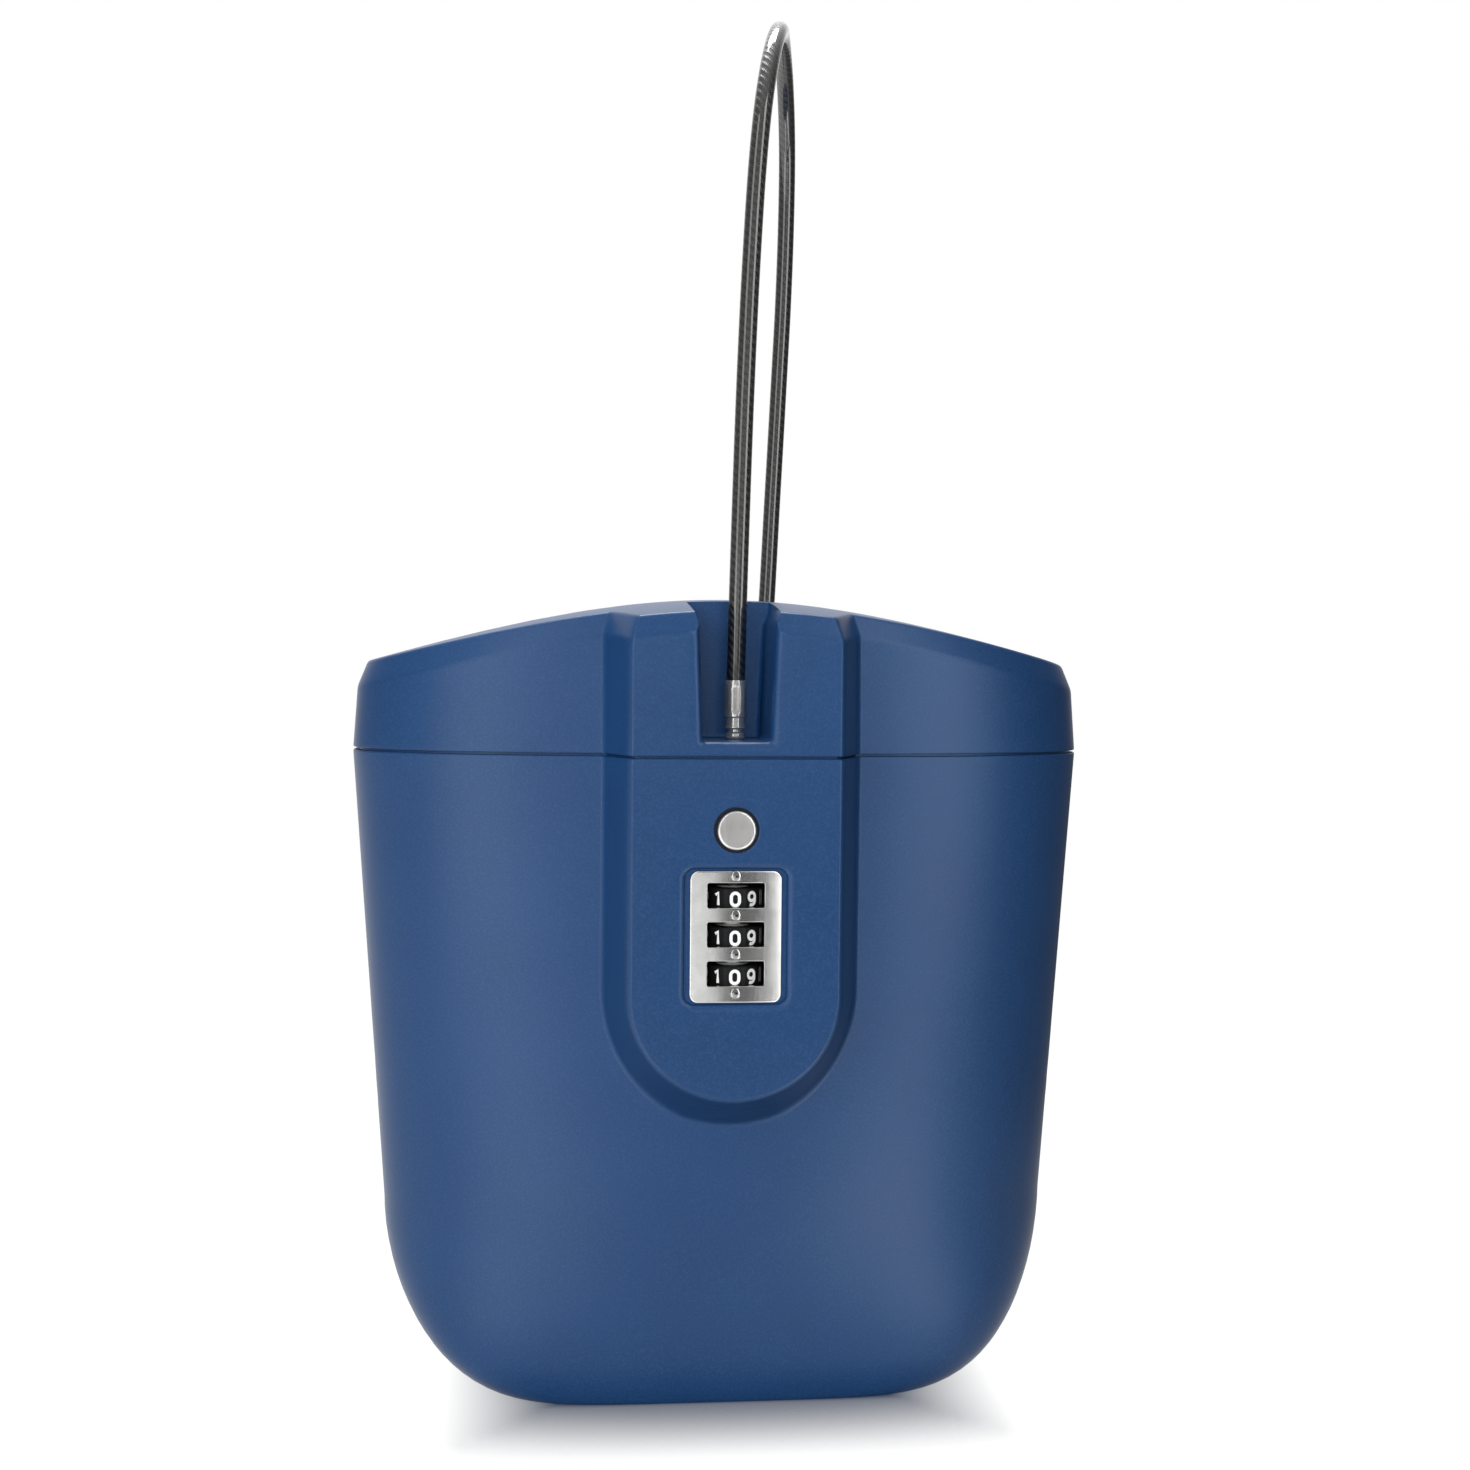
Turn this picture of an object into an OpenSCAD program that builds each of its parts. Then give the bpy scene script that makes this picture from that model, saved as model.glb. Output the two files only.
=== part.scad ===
// Portable beach safe: a tapered tub with an arched lid, a cable loop and a three-wheel combination lock.
// Millimetres, +Z up. The origin is the middle of the flat base; the lock pad faces -Y.

/* [Tub and lid] */
// Width of the tub at the seam
body_w = 202.5; // [192:0.5:212]
// Depth of the tub at the seam, without the lock pad
body_d = 80; // [77:1:86]
// Height of the seam between tub and lid
seam_z = 174; // [170:1:180]
// Rise of the lid's crest above the seam
crown_h = 41.8; // [41:0.2:45]
// How round the lid's arch is at its crest, from side to side
crown_round = 27; // [22:1:34]
// Slope of the lid's arch towards its sides
crown_slope = 0.367; // [0.35:0.001:0.38]
// Radius of the lid's arch from front to back
crown_ry = 335; // [300:5:400]
// Wall thickness of tub and lid
wall = 3.2; // [3.0:0.1:3.4]
// Squareness of the plan outline, where 2 is an ellipse
plan_power = 2.4; // [2.2:0.05:2.6]
// Squareness of the plan outline at the base
base_power = 5.6; // [4.6:0.2:6.4]
// Half width of the flat base
base_hw = 53.5; // [50:0.5:58]
// Half depth of the flat base
base_hd = 33.5; // [32:0.5:34]
// Height of the large round at the lower sides
round_z = 50; // [46:1:54]
// Height of the small round along the front and back of the base
edge_z = 12.5; // [11:0.5:14]
// Inward lean of the tub's sides for each millimetre down
tub_lean = 0.07; // [0.06:0.001:0.08]
// Inward lean of the tub's front and back for each millimetre down
tub_lean_d = 0.0257; // [0.02:0.0005:0.03]
// Inward lean of the lid's sides for each millimetre up
lid_lean = 0.07; // [0.05:0.002:0.09]
// Inward lean of the lid's front and back for each millimetre up
lid_lean_d = 0.05; // [0.04:0.002:0.06]
// Width of the bevel round the lid's top, seen from above
bevel_w = 2.8; // [2.4:0.1:3.2]
// Height of the bevel round the lid's top
bevel_h = 5.6; // [5:0.1:6]
// Open seam between the tub's rim and the lid
seam_gap = 0.65; // [0.5:0.05:0.8]
// Height of the lip that stands up inside the lid
lip_h = 1.6; // [1.4:0.05:1.7]
// Thickness of the lip
lip_t = 1.5; // [1.4:0.05:1.6]
// Clearance between the lip and the lid's skirt
lip_gap = 0.35; // [0.3:0.05:0.4]
// Thickness of the lid's seal
seal_t = 0.9; // [0.8:0.05:1.0]

/* [Lock pad] */
// How far the pad stands out from the tub at the seam
pad_proud = 13; // [12:0.2:14]
// Half width of the pad's flat front
pad_in = 27.5; // [26.5:0.5:29]
// Half width of the pad at its foot
pad_out = 33.5; // [33:0.5:35]
// Extra reach of the pad's foot at its round lower end
pad_flare = 2.5; // [2:0.1:3]
// Drop from the seam to the middle of the round lower end
pad_drop = 61.4; // [59:0.2:64]
// Depth of the recess for the dial plate
recess_depth = 1.5; // [1.3:0.05:1.6]

/* [Dial and wheels] */
// Drop from the seam to the middle wheel's window
dial_drop = 45.3; // [44.5:0.1:46]
// Distance from one wheel to the next
wheel_pitch = 10.1; // [9.9:0.05:10.3]
// Radius of the number wheels
wheel_r = 7.85; // [7.6:0.05:8.0]
// Height of a number wheel
wheel_h = 6.4; // [6.2:0.05:6.6]
// Rise of a wheel's top face above the middle of its window
wheel_rise = 1.6; // [1.5:0.05:1.7]
// Gap between the wheels and the back of the dial plate
wheel_gap = 0.4; // [0.35:0.05:0.5]
// Radius of the clutch sleeves inside the wheels
sleeve_r = 4.3; // [4.1:0.05:4.5]
// Radius of the gate discs under the wheels
gate_r = 3; // [2.9:0.05:3.1]
// Radius of the ten-sided necks under the gate discs
neck_r = 2.25; // [2.2:0.05:2.4]
// Radius of the wheel axle
axle_r = 1.5; // [1.4:0.05:1.6]
// Width of the dial plate
plate_w = 24; // [23.5:0.1:24.6]
// Height of the dial plate
plate_h = 34.2; // [33.6:0.1:34.6]
// Thickness of the dial plate
plate_t = 1.2; // [1.1:0.05:1.25]
// Width of a window
window_w = 14.8; // [14:0.1:15.4]
// Height of a window
window_h = 6.46; // [6.2:0.02:6.6]
// Width of the recess round the dial plate
recess_w = 29.8; // [29:0.1:31]
// Height of the recess round the dial plate
recess_h = 38.1; // [37.6:0.1:38.6]
// Radius of an index pip
pip_r = 1.5; // [1.3:0.05:1.6]

/* [Button and latch] */
// Drop from the seam to the middle of the release button
button_drop = 18.4; // [18.2:0.1:18.8]
// Radius of the release button
button_r = 5.1; // [4.9:0.05:5.2]
// How far the button stands out of the pad
button_proud = 0.9; // [0.6:0.05:1.1]
// Travel of the button
button_travel = 2; // [1.8:0.05:2.05]
// Thickness of the latch
latch_t = 1.8; // [1.6:0.05:1.9]
// Half width of the latch's eye plate
latch_hw = 6; // [5.6:0.1:6.2]
// Wire diameter of the latch spring
spring_wire = 0.6; // [0.5:0.05:0.7]
// Coil radius of the latch spring
spring_r = 2.2; // [2.0:0.05:2.4]

/* [Lock frame] */
// Half width of the lock frame
frame_hw = 16.8; // [16:0.1:17.4]
// Depth of the lock frame
frame_d = 24.8; // [24.4:0.1:26]
// Half width of the wheel chamber
chamber_hw = 11; // [10.8:0.1:11.2]
// Thickness of the lock cover
cover_t = 1.6; // [1.4:0.1:2]
// Shaft radius of all screws
screw_r = 1.25; // [1.2:0.05:1.4]
// Head radius of all screws
head_r = 2.4; // [2.2:0.1:2.6]
// Head height of all screws
head_h = 1.5; // [1.3:0.1:1.6]
// Distance of the fixing lugs' screws from the middle
lug_x = 20.5; // [20.4:0.1:20.8]
// Height of the lock frame's bottom below the middle of the pad's round end
frame_below = 12.4; // [12:0.1:13]
// Room between the lock frame and the seam
frame_top_gap = 1.4; // [1.3:0.05:1.6]
// Thickness of the lock frame's floor
frame_floor = 5; // [4.8:0.1:5.4]
// Thickness of the web over the wheel chamber
web_t = 3.5; // [3.3:0.1:3.7]
// Depth of the posts behind the pad that the lock frame is screwed to
lug_post = 8.8; // [8.4:0.1:9.2]
// Thickness of the lock frame's fixing lugs
lug_t = 3.6; // [3.2:0.1:4]
// Half height of the lock frame's fixing lugs
lug_hh = 4; // [3.6:0.1:4.2]
// Radius of the posts
post_r = 3; // [2.8:0.1:3.2]

/* [Cable and plug] */
// Diameter of the sheathed cable
cable_d = 4.9; // [4.6:0.1:5]
// Distance of the plug from the middle, as the notch holds it
plug_x = 1; // [0.4:0.2:1.2]
// Distance of the plug behind the pad's front
plug_in = 16; // [15.8:0.1:16.2]
// Half width of the notch at its floor
notch_hw = 8.8; // [8.5:0.1:9.1]
// Height of the notch's floor above the seam
notch_floor = 4.3; // [4.2:0.05:4.4]
// Depth of the front notch from the pad's front
notch_len = 29; // [27:0.5:30]
// Depth of the rear notch from the lid's back
rear_notch_len = 14; // [13.5:0.5:15]
// Half width of the rear notch
rear_notch_hw = 8; // [7.8:0.1:8.4]
// Radius of the plug's stem
stem_r = 2.1; // [2.0:0.02:2.14]
// Length of the plug below the seam
plug_reach = 16; // [15.6:0.1:16.2]
// Radius of the crimped ferrules
ferrule_r = 2.9; // [2.85:0.05:3]

/* [Hinge] */
// Distance of the hinges from the middle
hinge_x = 45; // [43:0.5:47]
// Distance of the hinge's axis behind the body
hinge_out = 3.5; // [3.5:0.1:4.5]
// Radius of the hinge knuckles
knuckle_r = 3.4; // [3.2:0.1:3.5]
// Radius of the hinge pins
pin_r = 1.25; // [1.1:0.05:1.5]
// Length of the lid's knuckle
knuckle_mid = 9.4; // [9:0.1:10]
// Length of each of the tub's knuckles
knuckle_end = 8; // [7:0.5:9]

/* [Hidden] */

// Facets of round holes, pins and turned pieces
round_fn = 64;
// Small overlap that lets one cut pass through another
eps = 0.01;
// Running clearance of turned pieces, and clearance of flat ones
fit = 0.05;
gap = 0.3;
// Clearance of a screw's shaft in the piece that it holds, and in its thread
screw_gap = 0.15;
thread_gap = 0.03;

// Places along the depth
pad_y = -(body_d / 2 + pad_proud);
inner_y = pad_y + wall;
recess_y = pad_y + recess_depth;
plate_y = recess_y - plate_t;
wheel_y = recess_y + wheel_gap + wheel_r;
frame_back = inner_y + frame_d;
cover_back = frame_back + cover_t;
plug_at = [plug_x, pad_y + plug_in, 0];
notch_y = pad_y + notch_len;
rear_notch_y = body_d / 2 - rear_notch_len;
hinge_y = body_d / 2 + hinge_out;

// Heights
crest_z = seam_z + crown_h;
rim_drop = 0.05;
lid_z = seam_z + seam_gap - rim_drop;
rim_z = seam_z - rim_drop;
lip_z = rim_z + lip_h;
seal_z = lip_z + gap;
rebate_z = seal_z + seal_t;
pad_cz = seam_z - pad_drop;
dial_z = seam_z - dial_drop;
button_z = seam_z - button_drop;
floor_z = seam_z + notch_floor;
frame_z0 = pad_cz - frame_below;
frame_z1 = seam_z - frame_top_gap;
chamber_z0 = frame_z0 + frame_floor;
wheel_zs = [dial_z + wheel_pitch, dial_z, dial_z - wheel_pitch];
web_room = 3.6;
web_z0 = wheel_zs[0] + wheel_rise + web_room;
web_z1 = web_z0 + web_t;
tip_z = seam_z - plug_reach;
tip_len = 5;
groove_len = 2;
eye_t = 1.6;
eye_z = tip_z + tip_len + (groove_len - eye_t) / 2;
roof_z = eye_z + eye_t + 2 * gap;

// Outline of tub and lid: half width and half depth at height z, drawn in by t
round_hw = body_w / 2 - (seam_z - round_z) * tub_lean - base_hw;
edge_hd = body_d / 2 - (seam_z - edge_z) * tub_lean_d - base_hd;
function quarter(z, top, t) = sqrt(max(0, 1 - pow((top - z) / (top - t), 2)));
function half_w(z, t) =
    z > seam_z ? body_w / 2 - (z - seam_z) * lid_lean - t
    : z > round_z ? body_w / 2 - (seam_z - z) * tub_lean - t
    : base_hw + (round_hw - t) * quarter(z, round_z, t);
base_draw = 0.35;
function half_d(z, t) =
    z > seam_z ? body_d / 2 - (z - seam_z) * lid_lean_d - t
    : z > edge_z ? body_d / 2 - (seam_z - z) * tub_lean_d - t
    : base_hd - base_draw * t + (edge_hd - (1 - base_draw) * t) * quarter(z, edge_z, t);

// The pad: its foot and its flat front at height z, and how far the surface has risen at x
pad_shift = 0.62;
foot_least = 6;
crest_least = 2;
function below_pad(z) = max(0, pad_cz - z);
function foot_r(z) = pad_out + pad_flare * pow(min(1, below_pad(z) / pad_out), 2);
function chord(r, z, least) = sqrt(max(least * least, r * r - below_pad(z) * below_pad(z)));
function foot_x(z, t) = chord(foot_r(z) - pad_shift * t, z, foot_least);
function crest_x(z, t) = chord(pad_in - pad_shift * t, z, crest_least);
function rise(x, z, t) = max(0, min(1,
    (foot_r(z) - pad_shift * t - norm([x, below_pad(z)])) / (foot_r(z) - pad_in)));
power_fade = 2.3;
function power(z) = plan_power + (base_power - plan_power) * pow(max(0, 1 - z / round_z), power_fade);
function front_y(x, z, t) =
    -half_d(z, t) * pow(1 - pow(abs(x) / half_w(z, t), power(z)), 1 / power(z));
function pad_pt(x, z, t) = let(y = front_y(x, z, t))
    [x, y + rise(x, z, t) * (pad_y + t - y)];

// The whole outline has a fixed number of points, so that rings at any height join up
side_n = 22;
slope_n = 3;
arc_n = 2 * side_n - 1;
ring_n = arc_n + 2 * (slope_n + 1);
function curled(v, n) = sign(v) * pow(abs(v), 2 / n);
function side_pt(q, z, t) =
    [half_w(z, t) * curled(cos(q), power(z)), -half_d(z, t) * curled(sin(q), power(z))];
function foot_q(z, t) = acos(pow(foot_x(z, t) / half_w(z, t), power(z) / 2));
function slope_x(k, z, t) = foot_x(z, t) + (crest_x(z, t) - foot_x(z, t)) * k / slope_n;
function mirror_x(p) = [-p.x, p.y];
function arc_pt(j, z, t) =
    let(q = foot_q(z, t) - (foot_q(z, t) + 90) * min(j, 2 * side_n - j) / side_n)
    let(p = side_pt(q, z, t))
    j > side_n ? mirror_x(p) : p;
function shell_pt(i, z, t) =
    i == 0 ? pad_pt(foot_x(z, t), z, t)
    : i <= arc_n ? arc_pt(i, z, t)
    : i <= arc_n + slope_n + 1 ? mirror_x(pad_pt(slope_x(i - arc_n - 1, z, t), z, t))
    : pad_pt(slope_x(ring_n - i, z, t), z, t);
function flat_ring(z, t) = [for (i = [0:ring_n - 1]) concat(shell_pt(i, z, t), z)];
function plan(z, t) = [for (i = [0:ring_n - 1]) shell_pt(i, z, t)];

// Lid surface: its arch, the height of the wall under the bevel, and rings that follow both.
// The inner faces of wall and top are drawn in further, so that the skin keeps its thickness
bevel_end = 0.3;
function arch(x) = norm([crown_round, crown_slope * x]) - crown_round;
function top_z(x, y) = crest_z - arch(x) - y * y / (2 * crown_ry);
bevel_look = 0.75;
wall_draw = 0.35;
top_draw = 1.45;
function wall_top(i, t) =
    let(p = shell_pt(i, lid_z + crown_h * bevel_look, bevel_w))
    top_z(p.x, p.y) - bevel_h * (1 + bevel_end * abs(p.x) / half_w(seam_z, 0)) - wall_draw * t;
function wall_ring(f, z0, t) = [for (i = [0:ring_n - 1])
    let(z = z0 + f * (wall_top(i, t) - z0)) concat(shell_pt(i, z, t), z)];
function top_ring(s, t) = [for (i = [0:ring_n - 1])
    let(p = s * shell_pt(i, wall_top(i, t), bevel_w + top_draw * t)) [p.x, p.y, top_z(p.x, p.y) - t]];

// Faces of a closed body of stacked rings, with a flat or a fanned cap at each end
function flat_points(rings) = [for (r = rings) each r];
function quad_faces(n, k) = [for (i = [0:n - 1]) let(j = (i + 1) % n)
    each [[k * n + i, k * n + n + i, k * n + n + j], [k * n + i, k * n + n + j, k * n + j]]];
function loft_faces(n, count) = concat(
    [[for (i = [0:n - 1]) i]],
    [for (k = [0:count - 2]) each quad_faces(n, k)],
    [[for (i = [n - 1:-1:0]) (count - 1) * n + i]]);
module loft(rings) {
    polyhedron(flat_points(rings), loft_faces(len(rings[0]), len(rings)));
}
function fan_faces(n, count, tip) = concat(
    [[for (i = [0:n - 1]) i]],
    [for (k = [0:count - 2]) each quad_faces(n, k)],
    [for (i = [0:n - 1]) [(count - 1) * n + i, tip, (count - 1) * n + (i + 1) % n]]);
module domed_loft(rings, tip) {
    n = len(rings[0]);
    polyhedron(concat(flat_points(rings), [tip]), fan_faces(n, len(rings), n * len(rings)));
}

// Heights of the tub's rings, as shares of its rounds, its pad end and its straight draft
base_shares = [0, 0.05, 0.15, 0.3, 0.5, 0.75, 1];
side_shares = [0.16, 0.34, 0.54, 0.76, 1];
pad_shares = [1.0, 0.975, 0.92, 0.85, 0.764, 0.66, 0.5, 0.27, 0];
pad_end = pad_out + pad_flare;
function tub_heights(t) = let(top = round_z - t, s = (pad_end - pad_shift * t) / pad_end) concat(
    [for (f = base_shares) t + f * (edge_z - t)],
    [for (f = side_shares) edge_z + f * (round_z - edge_z)],
    [for (f = pad_shares) pad_cz - f * pad_end * s],
    [(pad_cz + seam_z) / 2]);
rim_bevel = 0.5;
lip_bevel = 0.4;
lip_in = wall - lip_t;
function reversed(list) = [for (i = [len(list) - 1:-1:0]) list[i]];

// The cable's route, from the front ferrule over the loop to the rear ferrule
cable_route = [
    [1, -37, 187], [1, -37, 191], [1, -37, 195], [1.1, -37.2, 201], [1.3, -38, 215], [1.7, -39.5, 238],
    [2.2, -41, 262], [2.9, -41.5, 284], [3.8, -41, 304], [5.1, -39.5, 325], [6.8, -36.5, 342],
    [9.2, -30.5, 356], [12, -21, 366], [14.3, -10.5, 371.2], [16, 0, 372.5], [17.8, 10.5, 371],
    [19.7, 20.5, 366], [21.4, 29.5, 357], [22.4, 35.5, 345], [22.6, 38.8, 326], [22.1, 39.8, 305],
    [21.2, 39.8, 285], [20.2, 39.2, 265], [19, 38, 243], [17.7, 36.2, 219], [16.5, 33.6, 203],
    [16, 32.2, 195], [16, 32, 191], [16, 32, 187], [16, 32, 183]
];
cable_sides = 10;
rear_side = 16;
rear_in = 8;
rear_at = [rear_side, body_d / 2 - rear_in, 0];
bore_gap = 0.05;
ferrule_bore_z = 187;
rear_bore_z = 183;

// A tube of a given radius swept along points, with its rings set square to the path
function unit(v) = v / norm(v);
function heading(path, i) = unit(path[min(i + 1, len(path) - 1)] - path[max(i - 1, 0)]);
function tube_ring(p, dir, ref, r, sides) =
    let(u = unit(cross(dir, ref)), v = cross(dir, u))
    [for (k = [0:sides - 1]) p + r * (cos(360 * k / sides) * u + sin(360 * k / sides) * v)];
module swept_tube(path, ref, r, sides) {
    rings = [for (i = [0:len(path) - 1]) tube_ring(path[i], heading(path, i), ref, r, sides)];
    loft(rings);
}

// Outline of a rounded rectangle, centred
corner_n = 5;
function rounded(w, h, r) = [for (c = [0:3], k = [0:corner_n])
    let(q = 90 * c + 90 * k / corner_n, sx = (c == 0 || c == 3) ? 1 : -1, sy = c < 2 ? 1 : -1)
    [sx * (w / 2 - r) + r * cos(q), sy * (h / 2 - r) + r * sin(q)]];

// Places an outline drawn in X and Z so that its back is at y and it reaches forward by t
module facing(y, t) {
    translate([0, y, 0])
        rotate([90, 0, 0])
            linear_extrude(t)
                children();
}

// A bar along Y from y0 to y1, centred on X and Z
module rod(x, z, y0, y1, r) {
    translate([x, y0, z])
        rotate([-90, 0, 0])
            cylinder(h = y1 - y0, r = r, $fn = round_fn);
}

// A post along Z
module post(x, y, z0, z1, r) {
    translate([x, y, z0])
        cylinder(h = z1 - z0, r = r, $fn = round_fn);
}

// A block between two corners
module block(a, b) {
    translate(a)
        cube(b - a);
}

// A pan head screw along +Z with its head at the origin
head_edge = 0.5;
point = 0.4;
module screw(shaft) {
    rotate_extrude($fn = round_fn)
        polygon([[0, 0], [head_r - head_edge, 0], [head_r, head_edge], [head_r, head_h], [screw_r, head_h],
            [screw_r, head_h + shaft - point], [screw_r - point, head_h + shaft], [0, head_h + shaft]]);
}

// Tub
lug_top_in = 5.6;
lug_bottom_in = 13;
lug_zs = [frame_z1 - lug_hh - lug_top_in, frame_z0 + lug_hh + lug_bottom_in];
lug_y = inner_y + lug_post;
post_root = 0.7;
thread_deep = 6;
plate_corner = 2.3;
recess_corner = 3.5;
plate_ledge_x = 1.8;
plate_ledge_z = 1.4;
opening_hw = plate_w / 2 - plate_ledge_x;
opening_hh = plate_h / 2 - plate_ledge_z;
opening_corner = 1.5;
plate_drop = 0.6;
plate_z = dial_z - plate_drop;
seal_room = 0.65;
button_hole_r = button_r + seal_room;
knuckle_x0 = knuckle_mid / 2 + gap;
hinge_z = seam_z + gap;
// How far a cut runs past the face that it opens
past = 2;
knuckle_root = 1.2;

module tub_body() {
    heights = tub_heights(0);
    inner = tub_heights(wall);
    loft(concat(
        [for (z = heights) flat_ring(z, 0)],
        [flat_ring(rim_z - rim_bevel, 0)],
        [flat_ring(rim_z, rim_bevel)],
        [flat_ring(rim_z, lip_in)],
        [flat_ring(lip_z - lip_bevel, lip_in)],
        [flat_ring(lip_z, lip_in + lip_bevel)],
        [flat_ring(lip_z, wall)],
        [for (z = reversed(inner)) flat_ring(z, wall)]));
}

module hinge_rod(x, length, r) {
    translate([x - length / 2, hinge_y, hinge_z])
        rotate([0, 90, 0])
            cylinder(h = length, r = r, $fn = round_fn);
}

// Y of a knuckle's root, inside the wall at its end that is farther from the middle
function root_y(x) = -front_y(x, seam_z, 0) - knuckle_root;
module tub_knuckle(x) {
    far = max(abs(x), abs(x + knuckle_end));
    hinge_rod(x + knuckle_end / 2, knuckle_end, knuckle_r);
    block([x, root_y(far), hinge_z - knuckle_r], [x + knuckle_end, hinge_y, rim_z]);
}

module tub_shell() color([0.19, 0.31, 0.48]) {
    difference() {
        union() {
            tub_body();
            for (x = [-lug_x, lug_x], z = lug_zs)
                rod(x, z, inner_y - post_root, lug_y, post_r);
            for (s = [-hinge_x, hinge_x]) {
                tub_knuckle(s + knuckle_x0);
                tub_knuckle(s - knuckle_x0 - knuckle_end);
            }
        }
        facing(recess_y, recess_depth + past)
            translate([0, plate_z])
                polygon(rounded(recess_w, recess_h, recess_corner));
        facing(inner_y + past, wall + 2 * past)
            translate([0, plate_z])
                polygon(rounded(2 * opening_hw, 2 * opening_hh, opening_corner));
        rod(0, button_z, pad_y - past, inner_y + past, button_hole_r);
        for (x = [-lug_x, lug_x], z = lug_zs)
            rod(x, z, lug_y - thread_deep, lug_y + past, screw_r + thread_gap);
        for (x = [-hinge_x, hinge_x])
            hinge_rod(x, 2 * (knuckle_x0 + knuckle_end + past), pin_r + fit / 2);
    }
}

// Lock frame: wheel chamber, latch slideway, spring pocket and plug hole in one casting
near = 0.2;
latch_y = wheel_y - gate_r - near - button_travel;
comb_y0 = inner_y + gap;
comb_room = 0.35;
comb_x0 = wheel_r + comb_room;
comb_w = 2;
comb_x1 = comb_x0 + comb_w;
front_t = 2.2;
latch_room = 0.7;
latch_y0 = inner_y + front_t + latch_room;
button_flange = 0.9;
button_flange_r = button_r + button_flange;
flange_pocket = 3;
socket_r = 4.25;
socket_bore = 3.2;
axle_deep = 3;
axle_foot = chamber_z0 - axle_deep;
axle_top = web_z1 - 1;
boss_r = 2.2;
link_h = 2.3;
latch_foot = web_z1 + gap;
web_inset = 0.25;
web_front = wheel_y - boss_r + web_inset;

module lock_frame() color([0.16, 0.16, 0.18]) {
    difference() {
        union() {
            difference() {
                union() {
                    block([-frame_hw, inner_y, frame_z0], [frame_hw, frame_back, frame_z1]);
                    for (z = lug_zs)
                        block([-lug_x - post_r, lug_y, z - lug_hh],
                            [lug_x + post_r, lug_y + lug_t, z + lug_hh]);
                }
                block([-chamber_hw, inner_y - past, chamber_z0], [chamber_hw, frame_back + past, web_z0]);
                block([-latch_hw - gap, inner_y + front_t, web_z1],
                    [latch_hw + gap, frame_back + past, roof_z]);
                block([-latch_hw - gap, inner_y - past, web_z0 - past],
                    [comb_x1 + gap, latch_y0 + latch_t + button_travel + gap, latch_foot + link_h + gap]);
            }
            post(0, wheel_y, wheel_zs[0] + wheel_rise + near, web_z1, boss_r);
            block([-boss_r - 1, web_front, web_z0], [boss_r + 1, frame_back, web_z1]);
        }
        rod(0, button_z, inner_y - past, inner_y + flange_pocket, button_flange_r + gap);
        post(0, wheel_y, axle_foot, axle_top + near, axle_r + fit / 2);
        post(plug_at.x, plug_at.y, roof_z - past, frame_z1 + past, socket_r + fit / 2);
        block([-leaf_hw - fit, leaf_y - fit, web_z0 - past],
            [leaf_hw + fit, leaf_y + leaf_t + fit, web_z1 + past]);
        for (x = [-lug_x, lug_x], z = lug_zs)
            rod(x, z, lug_y - past, lug_y + lug_t + past, screw_r + screw_gap);
        for (x = [-cover_screw_x, cover_screw_x], z = cover_screw_zs)
            rod(x, z, frame_back - screw_shaft - past, frame_back + past, screw_r + thread_gap);
    }
}

// Lock cover with the slot of the code-change slider
screw_shaft = 5;
cover_screw_x = (chamber_hw + frame_hw) / 2;
cover_screw_low = 4;
cover_screw_high = 6;
cover_screw_zs = [frame_z0 + cover_screw_low, frame_z1 - cover_screw_high];
slider_travel = 2;
slider_stem_hw = 1.5;
slider_shoe_hw = 4;
slider_shoe_hh = 2.6;
slider_shoe_t = 1.2;
slider_knob_hh = 3.2;
slider_knob_t = 1.8;
slider_drop = 2.7;
slider_z = dial_z - slider_drop;
module lock_cover() color([0.24, 0.24, 0.26]) {
    difference() {
        block([-frame_hw, frame_back, frame_z0], [frame_hw, cover_back, frame_z1]);
        for (s = [-1, 1], z = cover_screw_zs)
            rod(s * cover_screw_x, z, frame_back - past, cover_back + past, screw_r + screw_gap);
        block([-slider_stem_hw - gap, frame_back - past, slider_z - slider_stem_hw - gap],
            [slider_stem_hw + gap + slider_travel, cover_back + past, slider_z + slider_stem_hw + gap]);
    }
}

// Code-change slider: knob inside the tub, stem through the cover, shoe behind it
module code_change_slider() color([0.75, 0.1, 0.08]) {
    knob_y = cover_back + gap;
    shoe_y = frame_back - gap;
    block([-slider_shoe_hw, knob_y, slider_z - slider_knob_hh],
        [slider_shoe_hw, knob_y + slider_knob_t, slider_z + slider_knob_hh]);
    block([-slider_stem_hw, shoe_y - eps, slider_z - slider_stem_hw],
        [slider_stem_hw, knob_y + eps, slider_z + slider_stem_hw]);
    block([-slider_shoe_hw, shoe_y - slider_shoe_t, slider_z - slider_shoe_hh],
        [slider_shoe_hw, shoe_y, slider_z + slider_shoe_hh]);
}

// Screws of the lock frame and of its cover
module lock_screws() color([0.7, 0.7, 0.72]) {
    for (x = [-lug_x, lug_x], z = lug_zs)
        translate([x, lug_y + lug_t + head_h, z])
            rotate([90, 0, 0])
                screw(lug_t + screw_shaft);
    for (s = [-1, 1], z = cover_screw_zs)
        translate([s * cover_screw_x, cover_back + head_h, z])
            rotate([90, 0, 0])
                screw(cover_t + screw_shaft);
}

// Dial plate
pip_root = 0.5;
pip_rise = 0.55;
window_corner = 0.5;
module pip() {
    rotate_extrude($fn = 32)
        polygon(concat([[0, -pip_root], [pip_r, -pip_root]],
            [for (q = [0:15:90]) [pip_r * cos(q), pip_rise * sin(q)]]));
}

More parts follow.
